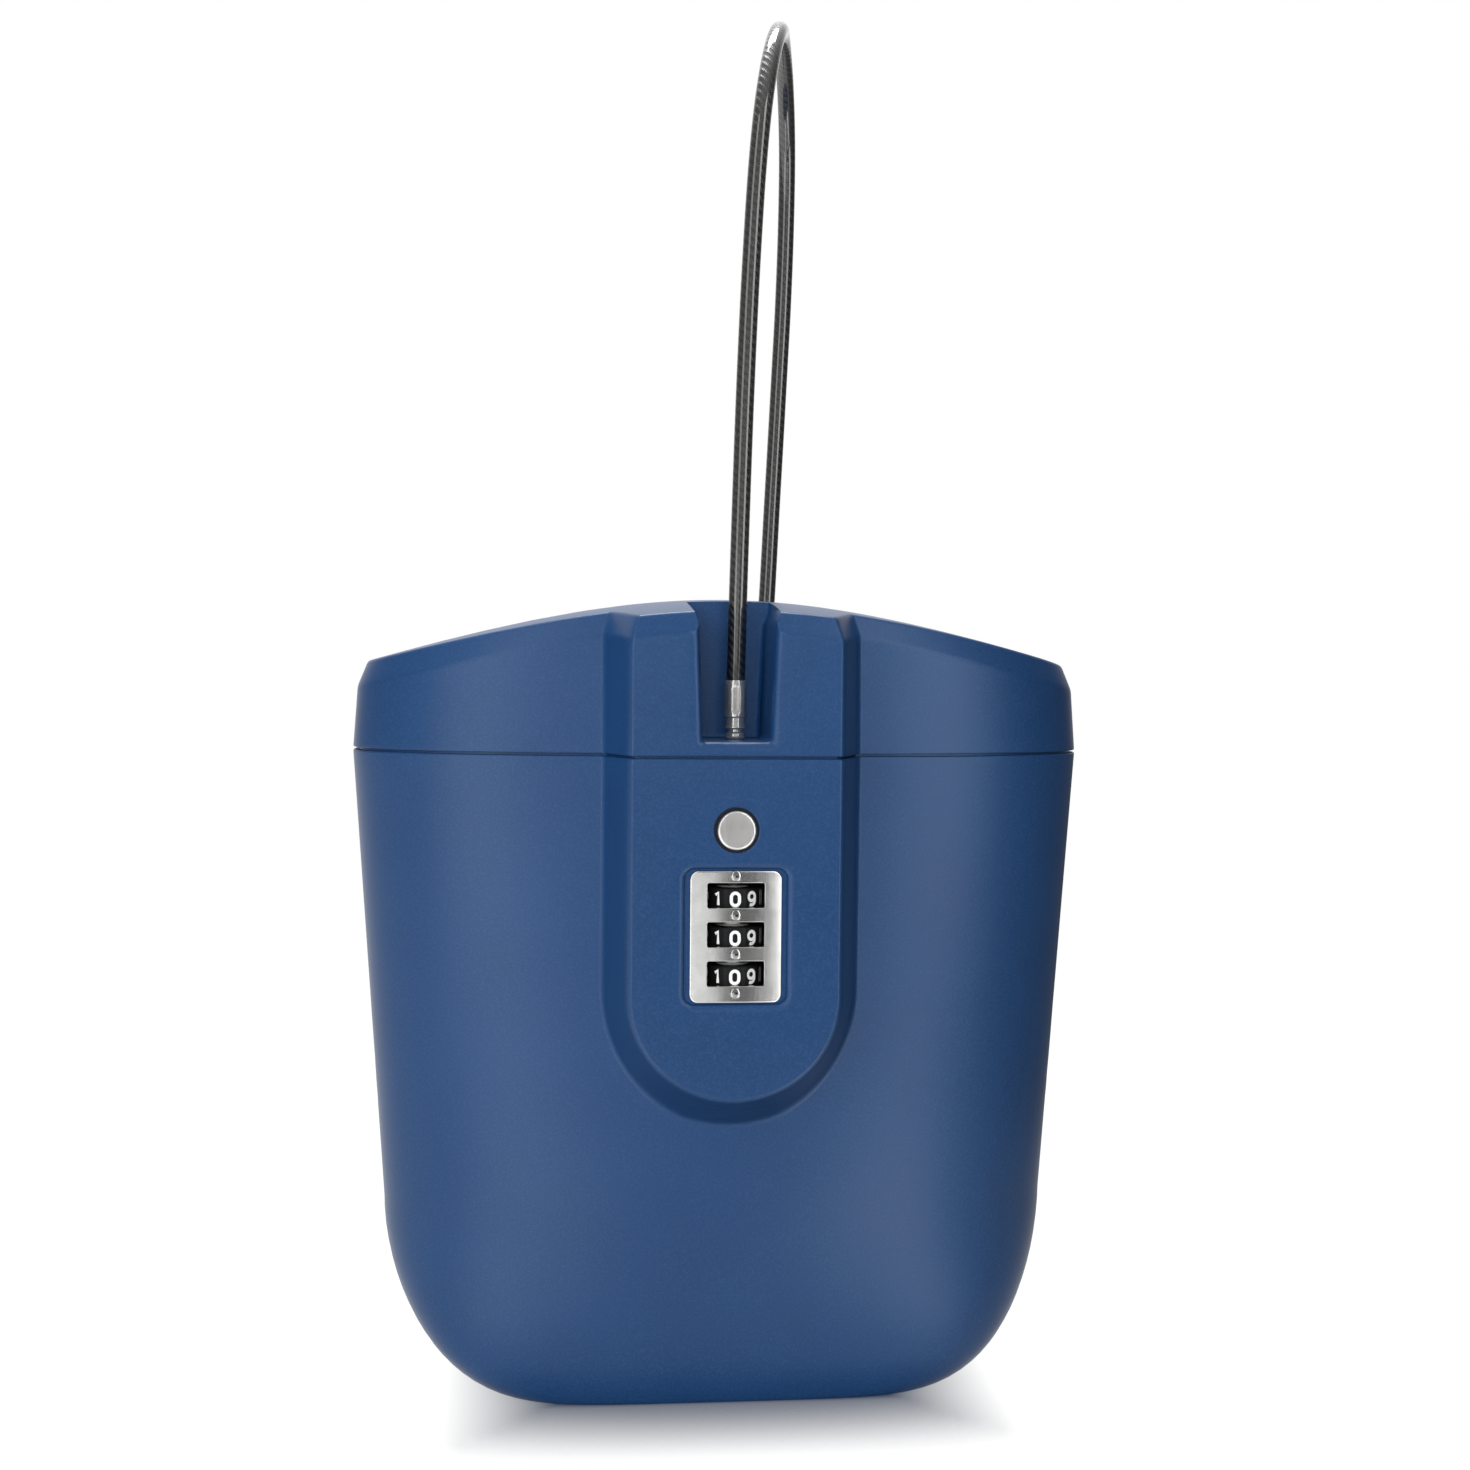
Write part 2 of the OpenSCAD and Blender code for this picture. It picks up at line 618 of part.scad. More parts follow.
pip_zs = [for (k = [-1.5:1:1.5]) dial_z + k * wheel_pitch];
module dial_plate() color([0.78, 0.79, 0.8]) {
    difference() {
        facing(recess_y, plate_t)
            translate([0, plate_z])
                polygon(rounded(plate_w, plate_h, plate_corner));
        for (z = wheel_zs)
            facing(recess_y + past, plate_t + 2 * past)
                translate([0, z])
                    polygon(rounded(window_w, window_h, window_corner));
    }
    for (z = pip_zs)
        translate([0, plate_y, z])
            rotate([90, 0, 0])
                pip();
}

// Wheels and clutch sleeves
key_hw = 0.6;
key_rise = 0.6;
key_gap = 0.1;
key_foot = 0.8;
key_cap = 1.4;
slot_cap = 1;
wheel_edge = 0.3;
module number_wheel(c) color([0.1, 0.1, 0.11]) {
    top = c + wheel_rise;
    bottom = top - wheel_h;
    difference() {
        translate([0, wheel_y, 0])
            rotate_extrude($fn = round_fn)
                polygon([[sleeve_r + fit, bottom], [wheel_r - wheel_edge, bottom],
                    [wheel_r, bottom + wheel_edge], [wheel_r, top - wheel_edge],
                    [wheel_r - wheel_edge, top], [sleeve_r + fit, top]]);
        block([-key_hw - key_gap, wheel_y, bottom - past],
            [key_hw + key_gap, wheel_y + sleeve_r + key_rise + key_gap, top - slot_cap]);
    }
}

gate_t = 2.3;
gate_hw = 0.8;
gate_deep = 1;
module clutch_sleeve(c) color([0.8, 0.8, 0.78]) {
    top = c + wheel_rise;
    gate_z = top - wheel_h - gate_t;
    neck_z = top - wheel_pitch + near;
    difference() {
        union() {
            post(0, wheel_y, top - wheel_h, top, sleeve_r);
            post(0, wheel_y, gate_z, top - wheel_h + eps, gate_r);
            translate([0, wheel_y, neck_z])
                rotate([0, 0, 18])
                    cylinder(h = gate_z - neck_z + eps, r = neck_r, $fn = 10);
            block([-key_hw, wheel_y, top - wheel_h + key_foot],
                [key_hw, wheel_y + sleeve_r + key_rise, top - key_cap]);
        }
        post(0, wheel_y, neck_z - past, top + past, axle_r + fit);
        block([-gate_hw, wheel_y - gate_r - past, gate_z - key_gap],
            [gate_hw, wheel_y - gate_r + gate_deep, top - wheel_h - key_gap]);
    }
}

module number_wheel_top() {
    number_wheel(wheel_zs[0]);
}

module number_wheel_middle() {
    number_wheel(wheel_zs[1]);
}

module number_wheel_bottom() {
    number_wheel(wheel_zs[2]);
}

module clutch_sleeve_top() {
    clutch_sleeve(wheel_zs[0]);
}

module clutch_sleeve_middle() {
    clutch_sleeve(wheel_zs[1]);
}

module clutch_sleeve_bottom() {
    clutch_sleeve(wheel_zs[2]);
}

module wheel_axle() color([0.75, 0.76, 0.78]) {
    collar_z = wheel_zs[2] + wheel_rise - wheel_pitch;
    post(0, wheel_y, axle_foot, axle_top, axle_r);
    post(0, wheel_y, chamber_z0, collar_z, boss_r);
}

// Leaf behind the wheels with a tongue on each ten-sided neck
leaf_hw = 3;
leaf_t = 0.6;
leaf_room = 0.5;
leaf_y = wheel_y + wheel_r + leaf_room;
tongue_hw = 1.2;
tongue_t = 0.7;
module detent_spring() color([0.6, 0.6, 0.58]) {
    block([-leaf_hw, leaf_y, chamber_z0], [leaf_hw, leaf_y + leaf_t, axle_top]);
    for (c = wheel_zs)
        translate([-tongue_hw, wheel_y + neck_r + near, c + wheel_rise - wheel_pitch + 2 * near])
            cube([2 * tongue_hw, leaf_y - wheel_y - neck_r - near + eps, tongue_t]);
}

// Release button, its flange and its stem to the latch
button_edge = 0.5;
button_stem_r = 2.2;
button_stem_len = 1.4;
module release_button() color([0.8, 0.8, 0.8]) {
    flange_top = latch_y0 - comb_y0;
    front = latch_y0 - pad_y + button_proud;
    translate([0, latch_y0, button_z])
        rotate([90, 0, 0])
            rotate_extrude($fn = round_fn)
                polygon(concat(
                    [[0, 0], [button_stem_r, 0], [button_stem_r, button_stem_len]],
                    [[button_flange_r, button_stem_len], [button_flange_r, flange_top]],
                    [[button_r, flange_top]],
                    [for (q = [0:15:90]) [button_r - button_edge + button_edge * cos(q),
                        front - button_edge + button_edge * sin(q)]],
                    [[0, front]]));
}

// Ring that fills the gap round the button
seal_inset = 0.2;
module button_seal() color([0.03, 0.03, 0.03]) {
    inner_r = button_r + key_gap;
    outer_r = button_hole_r - thread_gap;
    translate([0, inner_y, button_z])
        rotate([90, 0, 0])
            rotate_extrude($fn = round_fn)
                polygon([[inner_r, seal_inset], [outer_r, seal_inset],
                    [outer_r, wall - seal_inset], [inner_r, wall - seal_inset]]);
}

// Latch: front plate, eye round the plug, and comb with a finger under each wheel
nose_gap = 0.15;
plug_tip_r = 1.9;
eye_hw = 3.6;
eye_reach = 5.2;
eye_front = plug_at.y - eye_reach;
eye_back = plug_at.y + plug_tip_r + nose_gap;
eye_bar = 4.6;
latch_back = eye_back + eye_bar;
tab_hw = 4;
tab_drop = 6.4;
finger_end = 0.6;
finger_gap = 0.25;
disc_top = wheel_rise - wheel_h;
module latch() color([0.62, 0.62, 0.6]) {
    difference() {
        block([-latch_hw, latch_y0, eye_z], [latch_hw, latch_back, eye_z + eye_t]);
        block([plug_x - eye_hw, eye_front, eye_z - past], [plug_x + eye_hw, eye_back, eye_z + eye_t + past]);
    }
    block([-latch_hw, latch_y0, latch_foot], [latch_hw, latch_y0 + latch_t, eye_z + eps]);
    block([-tab_hw, latch_back - latch_t, eye_z - tab_drop], [tab_hw, latch_back, eye_z + eps]);
    block([latch_hw - eps, comb_y0, latch_foot], [comb_x1, latch_y0 + latch_t, latch_foot + link_h]);
    block([comb_x0, comb_y0, wheel_zs[2] + disc_top - gate_t + finger_gap],
        [comb_x1, comb_y0 + comb_w, latch_foot + eps]);
    for (c = wheel_zs)
        block([-finger_end, comb_y0, c + disc_top - gate_t + finger_gap],
            [comb_x0 + eps, latch_y, c + disc_top - finger_gap]);
}

spring_turns = 4;
spring_steps = 10;
spring_seat = 0.02;
module latch_spring() color([0.7, 0.7, 0.7]) {
    start = latch_back + spring_wire / 2 + spring_seat;
    length = frame_back - latch_back - spring_wire - 2 * spring_seat;
    count = spring_turns * spring_steps;
    path = [for (k = [0:count]) let(q = 360 * k / spring_steps)
        [spring_r * cos(q), start + length * k / count, eye_z - tab_drop / 2 + spring_r * sin(q)]];
    swept_tube(path, [0, 1, 0], spring_wire / 2, 6);
}

// Bush that guides the plug into the lock
socket_flange = 1.4;
socket_flange_t = 0.9;
socket_edge = 0.3;
module plug_socket() color([0.85, 0.85, 0.84]) {
    foot = roof_z + near;
    top = frame_z1 + socket_flange_t;
    translate(plug_at)
        rotate_extrude($fn = round_fn)
            polygon([[socket_bore, foot], [socket_r, foot], [socket_r, frame_z1],
                [socket_r + socket_flange, frame_z1], [socket_r + socket_flange, top],
                [socket_bore + socket_edge, top], [socket_bore, top - socket_edge]]);
}

// Hinge pins
module hinge_pin(x) color([0.75, 0.75, 0.76]) {
    hinge_rod(x, 2 * (knuckle_x0 + knuckle_end), pin_r);
}

module hinge_pin_left() {
    hinge_pin(-hinge_x);
}

module hinge_pin_right() {
    hinge_pin(hinge_x);
}

// Lid
notch_wall = 3;
notch_flare = 1.1;
notch_top_hw = notch_hw + notch_flare;
notch_fillet = 1.2;
mouth_drop = 7.6;
mouth_z = crest_z - mouth_drop;
mouth_run = 1.4;
mouth_rise = 4;
notch_cut = 40;
panel_rise = 0.7;
panel_z0 = floor_z + panel_rise;
panel_t = 2;
panel_screw_x = 60;
panel_screw_y = 18;
panel_post_r = 3.5;
anchor_screw_dx = 8;
anchor_skin = 0.5;
front_boss_r = 6;
boss_rise = 0.6;
boss_z = lid_z + boss_rise;
plug_room = 0.25;
plug_hole_r = stem_r + plug_room;
rear_x = rear_at.x;
rear_boss_front = 4.5;
rear_boss_back = 3.6;
knuckle_rise = 0.4;

// Outline of a notch: floor with rounded corners, leaning walls and flared mouth
function fillet_pt(q, x) = [x + notch_fillet * cos(q), floor_z + notch_fillet * (1 + sin(q))];
function notch_outline(hw) = let(top = hw + notch_flare) concat(
    [for (q = [270:-30:180]) fillet_pt(q, notch_fillet - hw)],
    [[-top, mouth_z], [-top - mouth_run, mouth_z + mouth_rise], [-top - mouth_run, crest_z + past]],
    [[top + mouth_run, crest_z + past], [top + mouth_run, mouth_z + mouth_rise], [top, mouth_z]],
    [for (q = [0:-30:-90]) fillet_pt(q, hw - notch_fillet)]);
module notch(x, y, hw) {
    translate([x, y, 0])
        rotate([90, 0, 0])
            linear_extrude(notch_cut)
                polygon(notch_outline(hw));
}

module lid_body() {
    domed_loft(concat(
        [for (f = [0, 0.35, 0.7, 0.88, 1]) wall_ring(f, lid_z, 0)],
        [for (s = [1, 0.85, 0.65, 0.42, 0.2]) top_ring(s, 0)]),
        [0, 0, top_z(0, 0)]);
}

module lid_cavity() {
    domed_loft(concat(
        [flat_ring(lid_z - past, lip_in - lip_gap)],
        [flat_ring(rebate_z, lip_in - lip_gap)],
        [flat_ring(rebate_z, wall)],
        [for (f = [0.35, 0.75, 1]) wall_ring(f, rebate_z, wall)],
        [for (s = [1, 0.75, 0.45, 0.2]) top_ring(s, wall)]),
        [0, 0, top_z(0, 0) - wall]);
}

// What stays solid inside the lid: the walls round both notches, their floors and the panel's posts
front_block_hw = notch_top_hw + notch_wall;
rear_block_hw = rear_notch_hw + notch_wall;
panel_screws = [for (x = [-panel_screw_x, panel_screw_x], y = [-panel_screw_y, panel_screw_y]) [x, y]];
module lid_filling() {
    block([-front_block_hw, pad_y - past, rebate_z],
        [front_block_hw, notch_y + notch_wall, crest_z + past]);
    block([rear_x - rear_block_hw, rear_notch_y - notch_wall, rebate_z],
        [rear_x + rear_block_hw, body_d, crest_z + past]);
    post(plug_at.x, plug_at.y, boss_z, rebate_z + past, front_boss_r);
    block([rear_x - rear_block_hw, rear_at.y - rear_boss_front, boss_z],
        [rear_x + rear_block_hw, rear_at.y + rear_boss_back, rebate_z + past]);
    for (p = panel_screws)
        post(p.x, p.y, panel_z0 + panel_t, crest_z + past, panel_post_r);
}

module lid_knuckle(x) {
    hinge_rod(x, knuckle_mid, knuckle_r);
    block([x - knuckle_mid / 2, root_y(abs(x) + knuckle_mid / 2), lid_z + knuckle_rise],
        [x + knuckle_mid / 2, hinge_y, hinge_z + knuckle_r]);
}

module lid_shell() color([0.19, 0.31, 0.48]) {
    difference() {
        union() {
            lid_body();
            for (x = [-hinge_x, hinge_x])
                lid_knuckle(x);
        }
        difference() {
            lid_cavity();
            lid_filling();
        }
        notch(0, notch_y, notch_hw);
        notch(rear_x, rear_notch_y + notch_cut, rear_notch_hw);
        post(plug_at.x, plug_at.y, boss_z - past, floor_z + past, plug_hole_r);
        post(rear_at.x, rear_at.y, boss_z - past, floor_z + past, stem_r + key_gap);
        for (x = [rear_x - anchor_screw_dx, rear_x + anchor_screw_dx])
            post(x, rear_at.y, boss_z - past, floor_z - anchor_skin, screw_r + thread_gap);
        for (p = panel_screws)
            post(p.x, p.y, panel_z0, panel_z0 + panel_t + screw_shaft + past, screw_r + thread_gap);
        for (x = [-hinge_x, hinge_x])
            hinge_rod(x, knuckle_mid + 2 * past, pin_r + fit);
    }
}

// Flat cover inside the lid, cut out round the two notch blocks
module lid_panel() color([0.15, 0.25, 0.4]) {
    difference() {
        translate([0, 0, panel_z0])
            linear_extrude(panel_t)
                polygon(plan(panel_z0 + panel_t, wall + gap));
        block([-front_block_hw - gap, pad_y, panel_z0 - past],
            [front_block_hw + gap, notch_y + notch_wall + gap, panel_z0 + panel_t + past]);
        block([rear_x - rear_block_hw - gap, rear_notch_y - notch_wall - gap, panel_z0 - past],
            [rear_x + rear_block_hw + gap, body_d, panel_z0 + panel_t + past]);
        for (p = panel_screws)
            post(p.x, p.y, panel_z0 - past, panel_z0 + panel_t + past, screw_r + screw_gap);
    }
}

module lid_panel_screws() color([0.7, 0.7, 0.72]) {
    for (p = panel_screws)
        translate([p.x, p.y, panel_z0 - head_h])
            screw(panel_t + screw_shaft);
}

module lid_gasket() color([0.06, 0.06, 0.06]) {
    translate([0, 0, seal_z])
        linear_extrude(seal_t)
            difference() {
                polygon(plan(seal_z, lip_in - lip_gap + key_gap));
                polygon(plan(seal_z, wall - key_gap));
            }
}

// Cable and what is on it
module cable() color([0.1, 0.11, 0.12]) {
    swept_tube(cable_route, [1, 0, 0], cable_d / 2, cable_sides);
}

// A crimped sleeve with a bore for the cable, closed below
sleeve_edge = 0.3;
module crimped_sleeve(foot, top, bore_z) {
    bore_r = cable_d / 2 + bore_gap;
    rotate_extrude($fn = round_fn)
        polygon([[0, foot], [ferrule_r - sleeve_edge, foot], [ferrule_r, foot + sleeve_edge],
            [ferrule_r, top - 2 * sleeve_edge], [ferrule_r - sleeve_edge / 2, top], [bore_r, top],
            [bore_r, bore_z], [0, bore_z]]);
}

waist_rise = 5.7;
ferrule_rise = 15.6;
waist_top = floor_z + waist_rise;
ferrule_top = floor_z + ferrule_rise;
module cable_ferrule() color([0.8, 0.8, 0.8]) {
    translate(plug_at)
        crimped_sleeve(waist_top, ferrule_top, ferrule_bore_z);
}

// Locking plug: tapered tip, groove for the latch, stem, bead on the notch's floor, flange and waist
groove_r = 1.3;
tip_r = 1.1;
bead_out = 0.5;
bead_r = stem_r + bead_out;
bead_z = floor_z + key_gap;
bead_h = 1.9;
bead_edge = 0.5;
neck_rise = 3;
neck_top = floor_z + neck_rise;
flange_h = 0.5;
waist_out = 0.4;
waist_r = stem_r + waist_out;
module locking_plug() color([0.8, 0.8, 0.8]) {
    groove_z = tip_z + tip_len;
    neck_in = stem_r - key_gap;
    translate(plug_at)
        rotate_extrude($fn = round_fn)
            polygon([[0, tip_z], [tip_r - sleeve_edge, tip_z], [tip_r, tip_z + sleeve_edge],
                [plug_tip_r, groove_z], [groove_r, groove_z], [groove_r, groove_z + groove_len],
                [stem_r, groove_z + groove_len], [stem_r, bead_z], [bead_r - bead_edge / 2, bead_z],
                [bead_r, bead_z + bead_edge], [bead_r, bead_z + bead_h - bead_edge],
                [bead_r - bead_edge, bead_z + bead_h], [neck_in, bead_z + bead_h],
                [neck_in, neck_top], [ferrule_r, neck_top], [ferrule_r, neck_top + flange_h],
                [waist_r, neck_top + flange_h], [waist_r, waist_top], [0, waist_top]]);
}

// Fixed end of the cable: sleeve on the rear notch's floor, its groove held by the anchor below
anchor_t = 2;
anchor_hw = 10.5;
anchor_front = 3.5;
anchor_back = 3.4;
anchor_z0 = boss_z - anchor_t;
rear_rise = 11.7;
rear_drop = 1.4;
rear_top = floor_z + rear_rise;
rear_foot = anchor_z0 - rear_drop;
anchor_thread = 2.2;
module rear_ferrule() color([0.75, 0.75, 0.75]) {
    translate(rear_at) {
        crimped_sleeve(floor_z, rear_top, rear_bore_z);
        rotate_extrude($fn = round_fn)
            polygon([[0, rear_foot], [stem_r, rear_foot], [stem_r, anchor_z0], [groove_r, anchor_z0],
                [groove_r, boss_z], [stem_r, boss_z], [stem_r, floor_z + eps], [0, floor_z + eps]]);
    }
}

module cable_anchor() color([0.6, 0.6, 0.6]) {
    slot_r = groove_r + key_gap;
    difference() {
        block([rear_x - anchor_hw, rear_at.y - anchor_front, anchor_z0],
            [rear_x + anchor_hw, rear_at.y + anchor_back, boss_z]);
        post(rear_x, rear_at.y, anchor_z0 - past, boss_z + past, slot_r);
        block([rear_x - slot_r, rear_at.y - anchor_front - past, anchor_z0 - past],
            [rear_x + slot_r, rear_at.y, boss_z + past]);
        for (x = [rear_x - anchor_screw_dx, rear_x + anchor_screw_dx])
            post(x, rear_at.y, anchor_z0 - past, boss_z + past, screw_r + screw_gap);
    }
}

module anchor_screws() color([0.7, 0.7, 0.72]) {
    for (s = [-1, 1])
        translate([rear_x + s * anchor_screw_dx, rear_at.y, anchor_z0 - head_h])
            screw(anchor_t + anchor_thread);
}

tub_shell();
lock_frame();
lock_cover();
lock_screws();
dial_plate();
number_wheel_top();
number_wheel_middle();
number_wheel_bottom();
clutch_sleeve_top();
clutch_sleeve_middle();
clutch_sleeve_bottom();
wheel_axle();
detent_spring();
release_button();
button_seal();
latch();
latch_spring();
plug_socket();
code_change_slider();
hinge_pin_left();
hinge_pin_right();
lid_shell();
lid_panel();
lid_panel_screws();
lid_gasket();
cable();
cable_ferrule();
locking_plug();
rear_ferrule();
cable_anchor();
anchor_screws();
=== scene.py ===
from math import acos, atan2, copysign, cos, hypot, pi, radians, sin, sqrt
import bmesh
import bpy
from mathutils import Matrix, Vector


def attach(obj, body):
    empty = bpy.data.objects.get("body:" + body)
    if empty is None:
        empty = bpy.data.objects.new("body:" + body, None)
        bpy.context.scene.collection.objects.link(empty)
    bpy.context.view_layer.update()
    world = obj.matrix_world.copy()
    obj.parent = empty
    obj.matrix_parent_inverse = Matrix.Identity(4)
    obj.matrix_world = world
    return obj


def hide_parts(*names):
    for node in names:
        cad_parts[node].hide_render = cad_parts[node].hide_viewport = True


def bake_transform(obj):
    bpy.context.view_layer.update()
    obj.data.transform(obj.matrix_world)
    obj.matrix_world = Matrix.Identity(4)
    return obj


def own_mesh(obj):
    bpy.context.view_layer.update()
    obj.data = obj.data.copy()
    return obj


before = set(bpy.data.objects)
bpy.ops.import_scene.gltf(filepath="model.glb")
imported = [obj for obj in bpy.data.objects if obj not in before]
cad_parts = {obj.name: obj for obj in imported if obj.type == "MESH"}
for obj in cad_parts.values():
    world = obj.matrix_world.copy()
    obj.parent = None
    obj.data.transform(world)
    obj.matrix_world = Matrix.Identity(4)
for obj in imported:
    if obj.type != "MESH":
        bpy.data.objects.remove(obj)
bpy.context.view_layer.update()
scene = bpy.context.scene
mm = 0.001  # the pieces are drawn in millimetres, the studio in metres
print("stage: frame loaded")

# Camera at the photograph's place
camera = {
    "place": (-53.69, -571.90, 200.76),
    "azimuth": -5.83,
    "pitch": 2.27,
    "roll": 0.49,
    "lens": 50,
    "sensor": 36,
    "nearest": 0.01,
}


def makeCamera(values):
    data = bpy.data.cameras.new("camera")
    data.lens = values["lens"]
    data.sensor_width = values["sensor"]
    data.clip_start = values["nearest"]
    eye = bpy.data.objects.new("camera", data)
    scene.collection.objects.link(eye)
    placed = Matrix.Translation(Vector(values["place"]) * mm)
    for angle, axis in ((values["azimuth"], "Z"), (90 - values["pitch"], "X"), (values["roll"], "Z")):
        placed = placed @ Matrix.Rotation(radians(angle), 4, axis)
    eye.matrix_world = placed
    scene.camera = eye


makeCamera(camera)
print("stage: camera set")


# Mesh helpers
def addMesh(name, points, faces):
    mesh = bpy.data.meshes.new(name)
    mesh.from_pydata([Vector(point) * mm for point in points], [], faces)
    obj = bpy.data.objects.new(name, mesh)
    scene.collection.objects.link(obj)
    return obj


def addStack(name, rings, foot=None, tip=None):
    # A closed form from rings of points; an end is flat, or runs up to a point of its own
    size = len(rings[0])
    points = [point for ring in rings for point in ring]
    last = len(points) - size
    faces = []
    for low in range(0, last, size):
        for here in range(size):
            after = (here + 1) % size
            faces.append((low + here, low + after, low + size + after, low + size + here))
    for low, point in ((0, foot), (last, tip)):
        if point is None:
            around = range(low, low + size)
            faces.append(tuple(around) if low else tuple(reversed(around)))
        else:
            faces += [(low + here, low + (here + 1) % size, len(points)) for here in range(size)]
            points.append(point)
    return addMesh(name, points, faces)


def faceOutwards(obj):
    form = bmesh.new()
    form.from_mesh(obj.data)
    bmesh.ops.remove_doubles(form, verts=form.verts, dist=1e-7)
    bmesh.ops.recalc_face_normals(form, faces=form.faces)
    form.to_mesh(obj.data)
    form.free()
    return obj


def evaluated(obj):
    bpy.context.view_layer.update()
    graph = bpy.context.evaluated_depsgraph_get()
    return bpy.data.meshes.new_from_object(obj.evaluated_get(graph))


def settle(obj):
    # Applies the modifiers
    made = evaluated(obj)
    old = obj.data
    obj.modifiers.clear()
    obj.data = made
    made.name = obj.name
    bpy.data.meshes.remove(old)


def join(obj, others, how):
    for other in others:
        step = obj.modifiers.new(how, "BOOLEAN")
        step.operation = how
        step.solver = "MANIFOLD"
        step.object = other
    settle(obj)
    for other in others:
        bpy.data.objects.remove(other)


def shadeSoft(obj, angle, weighted=True):
    for face in obj.data.polygons:
        face.use_smooth = True
    obj.data.set_sharp_from_angle(angle=radians(angle))
    if weighted:
        step = obj.modifiers.new("weights", "WEIGHTED_NORMAL")
        step.keep_sharp = True
        settle(obj)


def soften(points, radius, steps):
    # Rounds the corners of a line by up to the radius, and by less where a side is short
    reach = 0.45
    points = [Vector(point) for point in points]
    out = [points[0]]
    for before, here, after in zip(points, points[1:], points[2:]):
        back = before - here
        on = after - here
        start = here + back.normalized() * min(radius, back.length * reach)
        end = here + on.normalized() * min(radius, on.length * reach)
        for step in range(steps + 1):
            share = step / steps
            out.append(start * (1 - share) ** 2 + here * 2 * share * (1 - share) + end * share ** 2)
    out.append(points[-1])
    return out


def flatProfile(points, radius):
    return [(point[0], point[1]) for point in soften([(x, z, 0) for x, z in points], radius, 2)]


def turns(count):
    return [2 * pi * step / count for step in range(count)]


def circle(centre, radius, first, second, sides):
    # A ring of points in the plane of two directions
    return [centre + radius * (cos(turn) * first + sin(turn) * second) for turn in turns(sides)]


# For each axis of turning: the two directions across it, and the one along it
axes = {
    "X": (Vector((0, 0, -1)), Vector((0, 1, 0)), Vector((1, 0, 0))),
    "Y": (Vector((1, 0, 0)), Vector((0, 0, 1)), Vector((0, -1, 0))),
    "Z": (Vector((1, 0, 0)), Vector((0, 1, 0)), Vector((0, 0, 1))),
}


def addTurned(name, profile, place, sides, axis="Z"):
    # profile: (radius, distance along the axis), from the axis outwards and back to it
    first, second, along = axes[axis]
    place = Vector(place)
    rings = [circle(place + up * along, radius, first, second, sides) for radius, up in profile[1:-1]]
    ends = [place + profile[end][1] * along for end in (0, -1)]
    return faceOutwards(addStack(name, rings, *ends))


def addRod(name, radius, start, end, place, sides, axis="Z"):
    return addTurned(name, [(0, start), (radius, start), (radius, end), (0, end)], place, sides, axis)


def rods(name, rod, spots, sides, axis="Z"):
    return [addRod(name, *rod, spot, sides, axis) for spot in spots]


def addBlock(name, low, high):
    corners = [(low[0], low[1]), (high[0], low[1]), (high[0], high[1]), (low[0], high[1])]
    return addStack(name, [[(x, y, z) for x, y in corners] for z in (low[2], high[2])])


def roundingRows(face, edge, drop, count):
    # Rounds an edge over: rows of (place, growth) from drop before the face up to the face
    rows = [(face + drop, 0)]
    for step in range(1, count + 1):
        turn = pi / 2 * step / count
        rows.append((face + drop * (1 - sin(turn)), edge * (1 - cos(turn))))
    return rows


def addFacing(name, size, middle, rows, steps=6):
    # A rounded rectangle (wide, high, corner) that faces the front, grown by a little in each row
    wide, high, corner = size
    rings = []
    for y, grow in rows:
        radius = corner + grow
        ring = []
        for quarter, (sideX, sideZ) in enumerate(((1, 1), (-1, 1), (-1, -1), (1, -1))):
            for step in range(steps + 1):
                turn = radians(90 * quarter + 90 * step / steps)
                x = sideX * (wide / 2 - corner) + radius * cos(turn)
                z = sideZ * (high / 2 - corner) + radius * sin(turn)
                ring.append((x, y, middle + z))
        rings.append(ring)
    return faceOutwards(addStack(name, rings))


def facingCutter(name, size, middle, deepY, faceY, edge, drop):
    # Cuts from deepY to the face, and rounds over an edge of this width and drop there
    rows = [(deepY, 0)] + roundingRows(faceY, edge, drop, 6) + [(faceY - 3, edge)]
    return addFacing(name, size, middle, rows)


# Shader helpers
def feed(tree, node, values):
    # Each value is a constant or the socket that it comes from
    for name, value in values.items():
        if isinstance(value, bpy.types.NodeSocket):
            tree.links.new(value, node.inputs[name])
        else:
            node.inputs[name].default_value = value


def addNode(tree, kind, values=None, **settings):
    node = tree.nodes.new(kind)
    for name, value in settings.items():
        setattr(node, name, value)
    feed(tree, node, values or {})
    return node.outputs


def addGroup(tree, group, values):
    return addNode(tree, "ShaderNodeGroup", values, node_tree=group)


def reckon(tree, operation, *terms):
    return addNode(tree, "ShaderNodeMath", dict(enumerate(terms)), operation=operation)[0]


def mixColours(tree, factor, first, second):
    return addNode(tree, "ShaderNodeMix", {0: factor, 6: first, 7: second}, data_type="RGBA")[2]


def ranged(tree, value, low, high, fromLow=0.3, fromHigh=0.7):
    limits = {"Value": value, "From Min": fromLow, "From Max": fromHigh, "To Min": low, "To Max": high}
    return addNode(tree, "ShaderNodeMapRange", limits)["Result"]


def noise(tree, place, scale, detail, roughness=0.5):
    values = {"Vector": place, "Scale": scale, "Detail": detail, "Roughness": roughness}
    return addNode(tree, "ShaderNodeTexNoise", values)["Fac"]


def objectPlace(tree):
    return addNode(tree, "ShaderNodeTexCoord")["Object"]


def splitPlace(tree, place):
    return addNode(tree, "ShaderNodeSeparateXYZ", {0: place})


